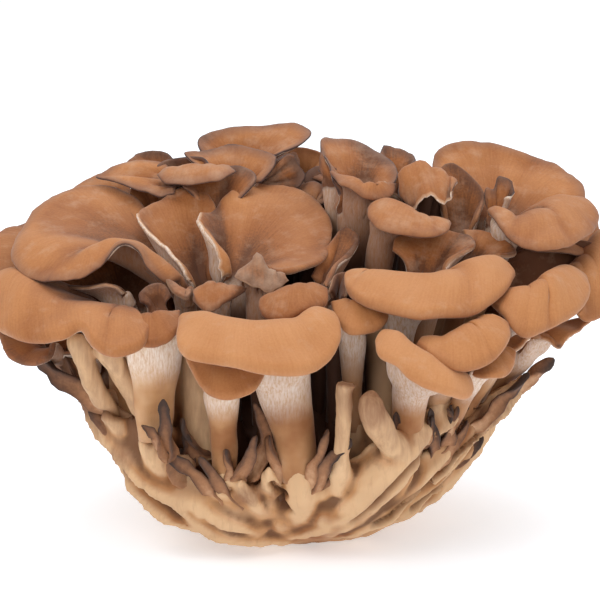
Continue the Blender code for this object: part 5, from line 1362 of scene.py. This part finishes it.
def wearBase(shape, fold):
    # roughens the skin, sinks its grooves and pits, and gives every vertex what the material reads
    points = np.array([vertex.co for vertex in shape.verts]) / mm
    inFront = ease((-12 - points[:, 1]) / 8)
    grooves = [(inFront * nearLine(points[:, ::2], line, radius), depth)
               for radius, depth, line in grooveTable.values()]
    groove = np.max([near for near, depth in grooves], axis=0)
    sunk = np.max([near**2 * depth for near, depth in grooves]
                  + [nearPoint(points, (x, y, z), radius)**2 * depth
                     for x, y, z, radius, depth in hollowTable.values()], axis=0)
    dried = 0.35 * ease((points[:, 2] - 34) / 22) * ease((np.hypot(*points[:, :2].T) - 56) / 10)
    for x, y, z, radius, strength in driedTable.values():
        dried = np.maximum(dried, strength * ease(nearPoint(points, (x, y, z), radius) * 1.6))
    # small lumps, and strands that run up and down
    rough = (lumps(points, 7, 60) + 0.5 * lumps(points, 3, 62)
             + 1.2 * lumps(points * (1, 1, 0.2), 3.5, 61)) * 0.5
    # fold, with the pits added, gives painted shade in creases and a painted highlight on ridges; deep
    # gives painted shade inside the cluster and in the grooves
    marks = {"fold": np.clip(fold + sunk / 3, -1, 1), "dried": dried,
             "deep": np.maximum(howDeep(points), baseShape["grooveShade"] * groove**2)}
    layers = {key: shape.verts.layers.float.new(key) for key in marks}
    for number, vertex in enumerate(shape.verts):
        vertex.co += vertex.normal * float(rough[number] - sunk[number]) * mm
        vertex.co.z = max(vertex.co.z, 0.0)
        for key, values in marks.items():
            vertex[layers[key]] = float(values[number])


def growBase(caps, material):
    # the bowl, its limbs, its pale growths and its sheets, fused into one skin
    shape = bmesh.new()
    growBowl(shape)
    for cap in caps.values():
        growLimb(shape, cap)
    for name, stations in limbTable.items():
        growTube(shape, stations, flat=name == "flatToppedStem")
    for seed, (tilt, stations) in enumerate(sheetTable.values()):
        growBlade(shape, stations, seed, baseShape["sheetCurl"], tilt)
    growShoulder(shape)
    bmesh.ops.remove_doubles(shape, verts=shape.verts, dist=1e-6)
    bmesh.ops.recalc_face_normals(shape, faces=shape.faces)
    skin = fuseGrowths(shape)
    fold = fillCreases(skin)
    shape = bmesh.new()
    shape.from_mesh(skin)
    wearBase(shape, fold)
    print("base faces", len(shape.faces))
    return finishPiece("branchingBase", shape, material)


# Dried forked blades, from the tip down: [(x, y, z, half width, half thickness), ...]
bladeTable = {
    "leftFinger": [(-95, -40, 74, 3.2, 2), (-84, -43, 67, 4, 2.2), (-73, -46, 60, 4, 2.6),
                   (-62, -44, 52, 4, 3)],
    "leftVeeA": [(-93, -36, 82, 1.8, 1.1), (-86, -38, 74, 3, 1.3), (-76, -41, 63, 3, 1.8)],
    "leftVeeB": [(-83, -36, 81, 1.6, 1.1), (-84, -38, 74, 2.6, 1.3), (-76, -41, 64, 3, 1.8)],
    "leftStub": [(-80, -43, 61, 1.6, 1.4), (-75, -44, 55, 2.4, 1.8), (-68, -43, 48, 3, 2.4)],
    "tallForkA": [(-49, -67, 66, 2.0, 1.2), (-48, -66, 58, 3.2, 1.4), (-46, -63, 48, 3.6, 2),
                  (-44, -57, 37, 4.4, 3)],
    "tallForkB": [(-55, -66, 57, 2.2, 1.2), (-51, -66, 53, 2.6, 1.4), (-47, -62, 45, 3, 2)],
    "ribbon": [(-50, -62, 47, 2.2, 1.2), (-42, -64, 42, 2.8, 1.4), (-35, -63, 35, 2.8, 1.6),
               (-29, -59, 29, 3, 2.4)],
    "bentBlade": [(-35, -66, 45, 1.6, 1.1), (-31, -64, 38, 2.4, 1.4), (-25, -60, 30, 3, 2),
                  (-20, -54, 24, 3.6, 3)],
    "smallHorn": [(-26, -67, 49, 1.2, 1.1), (-25, -65, 43, 2, 1.6), (-26, -60, 34, 2.8, 2.4)],
    "curlBlade": [(-16, -68, 53, 1.4, 1), (-19, -67, 46, 2.8, 1.4), (-22, -63, 38, 3, 2),
                  (-23, -57, 30, 3.6, 3)],
    "flameBlade": [(-16, -62, 64, 1, 0.9), (-13, -62, 53, 2.8, 1.6), (-15, -60, 42, 3.4, 2.2),
                   (-17, -55, 32, 4, 3)],
    "stubBlade": [(-10, -65, 52, 1.4, 1.2), (-9, -64, 45, 2.4, 1.8), (-7, -59, 36, 3, 2.6)],
    "hornLeft": [(10, -70, 57, 1.1, 1), (8, -69, 49, 2, 1.5), (5, -66, 40, 2.8, 2.2),
                 (2, -59, 30, 4, 3.4)],
    "hornRight": [(17, -71, 54, 1.6, 1.2), (13, -70, 48, 2.4, 1.6), (8, -67, 40, 2.8, 2.2),
                  (3, -60, 30, 4, 3.4)],
    "hornLow": [(14, -68, 43, 1.2, 1.1), (11, -64, 36, 2, 1.8), (7, -57, 28, 3, 2.6)],
    "rightKnobA": [(73, -23, 50, 1.8, 1.5), (69, -24, 45, 2.6, 2), (60, -24, 38, 3, 2.6)],
    "rightKnobB": [(68, -22, 38, 1.6, 1.4), (63, -22, 33, 2.4, 2), (55, -20, 27, 3, 2.6)],
    "branchEnd": [(92, -19, 68, 2.6, 2.2), (88, -20, 65, 2.8, 2.4), (82, -24, 60, 2.6, 2.4)],
    "rightTrough": [(84, -30, 66, 1.6, 1.2), (76, -34, 59, 2.6, 1.5), (66, -38, 50, 3.2, 2)],
    "grooveHorn": [(60, -46, 52, 1.4, 1.2), (56, -47, 45, 2.4, 1.8), (50, -46, 37, 3, 2.6)],
}
forkShape = {
    "count": 70, "seed": 12, "height": (30, 50), "length": (9, 20), "halfWidth": (1.3, 2.6),
    "flatness": 0.55,           # a blade's thickness as a share of its width
    "curl": 0.7, "twist": 0.8,
    "kept": 0.55,               # no loose fork stands within this turn of the front, which has its own
}


def growForks(material):
    # the dried blades in front, then small forked ones round the base's shoulder
    shape = bmesh.new()
    deepLayer = shape.verts.layers.float.new("deep")

    def growFork(stations, seed):
        growBlade(shape, stations, seed, forkShape["curl"], twist=forkShape["twist"], dried=True)

    for seed, stations in enumerate(bladeTable.values()):
        growFork(stations, seed)
    draw = random.Random(forkShape["seed"])
    for number in range(forkShape["count"]):
        turn = math.tau * (number + draw.uniform(-0.4, 0.4)) / forkShape["count"]
        height, length = draw.uniform(*forkShape["height"]), draw.uniform(*forkShape["length"])
        width = draw.uniform(*forkShape["halfWidth"])
        inset, sideways = draw.uniform(0, 8), draw.uniform(-0.5, 0.5)
        outward, prongs = draw.uniform(0.1, 0.7), draw.choice((0, 1, 1, 2))
        bends = [(draw.uniform(-1, 1), draw.uniform(0, 0.5), draw.uniform(0.35, 0.6)) for _ in range(2)]
        if abs(math.remainder(turn + math.pi / 2, math.tau)) < forkShape["kept"]:
            continue
        radius = 62 + (height - 24) * 0.4 - inset
        out = Vector((math.cos(turn), math.sin(turn), 0))
        side = Vector((-out.y, out.x, 0))
        root = out * radius + Vector((0, 0, height))
        lean = (out * outward + side * sideways + Vector((0, 0, 1))).normalized()
        split = root + lean * length * 0.5 + out * 2
        deep = width * forkShape["flatness"]
        growFork([(*(split + lean * length * 0.5), width * 0.7, deep * 0.6), (*split, width, deep),
                  (*root, width * 1.5, deep * 1.8),
                  (*(root - out * 9 - lean * 3), width * 2, deep * 2.4)], number + 40)
        for across, outer, share in bends[:prongs]:
            bend = (side * across + out * outer + Vector((0, 0, 0.8))).normalized()
            growFork([(*(split + bend * length * share), width * 0.6, deep * 0.6),
                      (*(split + bend * 2), width * 0.8, deep * 0.8),
                      (*(split - lean * 3), width * 0.9, deep)], number + 90)
    # painted shade: a fork is darker the deeper inside the cluster it stands
    for vertex in shape.verts:
        vertex[deepLayer] = float(howDeep(np.array(vertex.co / mm)))
    bmesh.ops.remove_doubles(shape, verts=shape.verts, dist=1e-6)
    bmesh.ops.recalc_face_normals(shape, faces=shape.faces)
    return finishPiece("unopenedForks", shape, material)


# Pale floor, soft light from three boxes and a bright room, and the camera. Its places are in metres
stageLook = {
    "floorSide": 8.0, "floorColour": "#EEF3FA", "floorGlow": 0.4, "roomLight": 0.6,
    "cameraDistance": 1.0, "cameraPitch": 15.0, "lookAt": (0, 0, 0.087),
    "lens": 157.9, "sensor": 36,                # mm
}
lightTable = {
    "keyBox": {"at": (-0.55, -0.75, 0.95), "size": 0.7, "power": 6.0},
    "fillBox": {"at": (0.9, -0.7, 0.5), "size": 0.8, "power": 2.4},
    "topBox": {"at": (0.1, 0.35, 1.2), "size": 0.9, "power": 6.6},
}


def makeStage():
    shape = bmesh.new()
    bmesh.ops.create_grid(shape, x_segments=1, y_segments=1, size=stageLook["floorSide"] / 2)
    mesh = bpy.data.meshes.new("floor")
    shape.to_mesh(mesh)
    shape.free()
    floor = bpy.data.objects.new("floor", mesh)
    scene.collection.objects.link(floor)
    # a lit white sheet: matt, with a faint glow that keeps its shadows light
    paper = newMaterial("litPaperFloor")
    addNode(paper, "surface", "BsdfPrincipled",
            {"Base Color": stageLook["floorColour"], "Roughness": 0.9, "Specular IOR Level": 0.1,
             "Emission Color": (1, 1, 1, 1), "Emission Strength": stageLook["floorGlow"]})
    addNode(paper, "output", "OutputMaterial", {}, {"Surface": ("surface", "BSDF")})
    mesh.materials.append(paper)

    room = bpy.data.worlds.new("brightRoom")
    room.use_nodes = True
    room.node_tree.nodes["Background"].inputs["Color"].default_value = (1, 1, 1, 1)
    room.node_tree.nodes["Background"].inputs["Strength"].default_value = stageLook["roomLight"]
    scene.world = room
    target = Vector(stageLook["lookAt"])
    for name, box in lightTable.items():
        light = bpy.data.lights.new(name, "AREA")
        light.energy, light.size = box["power"], box["size"]
        lamp = bpy.data.objects.new(name, light)
        lamp.location = box["at"]
        lamp.rotation_euler = (target - lamp.location).to_track_quat("-Z", "Y").to_euler()
        scene.collection.objects.link(lamp)

    pitch, distance = math.radians(stageLook["cameraPitch"]), stageLook["cameraDistance"]
    camera = bpy.data.cameras.new("camera")
    camera.lens, camera.sensor_width = stageLook["lens"], stageLook["sensor"]
    holder = bpy.data.objects.new("camera", camera)
    holder.location = target + Vector((0, -distance * math.cos(pitch), distance * math.sin(pitch)))
    holder.rotation_euler = (math.pi / 2 - pitch, 0, 0)
    scene.collection.objects.link(holder)
    scene.camera = holder
    scene.view_settings.view_transform = "Standard"


makeStage()
print("stage, lights and camera made")

capFlesh = makeCapFlesh()
allCaps = {name: {**capDefaults, **cap} for name, cap in capTable.items()}
allCaps.update({name: ringCap(*sizes) for name, sizes in ringTable.items()})
for seed, (name, cap) in enumerate(allCaps.items()):
    growCap(name, cap, seed, capFlesh)
print("caps grown:", len(allCaps))

growBase(allCaps, makeBaseFlesh())
print("base grown")
growForks(makeForkFlesh())
print("unopened forks grown")
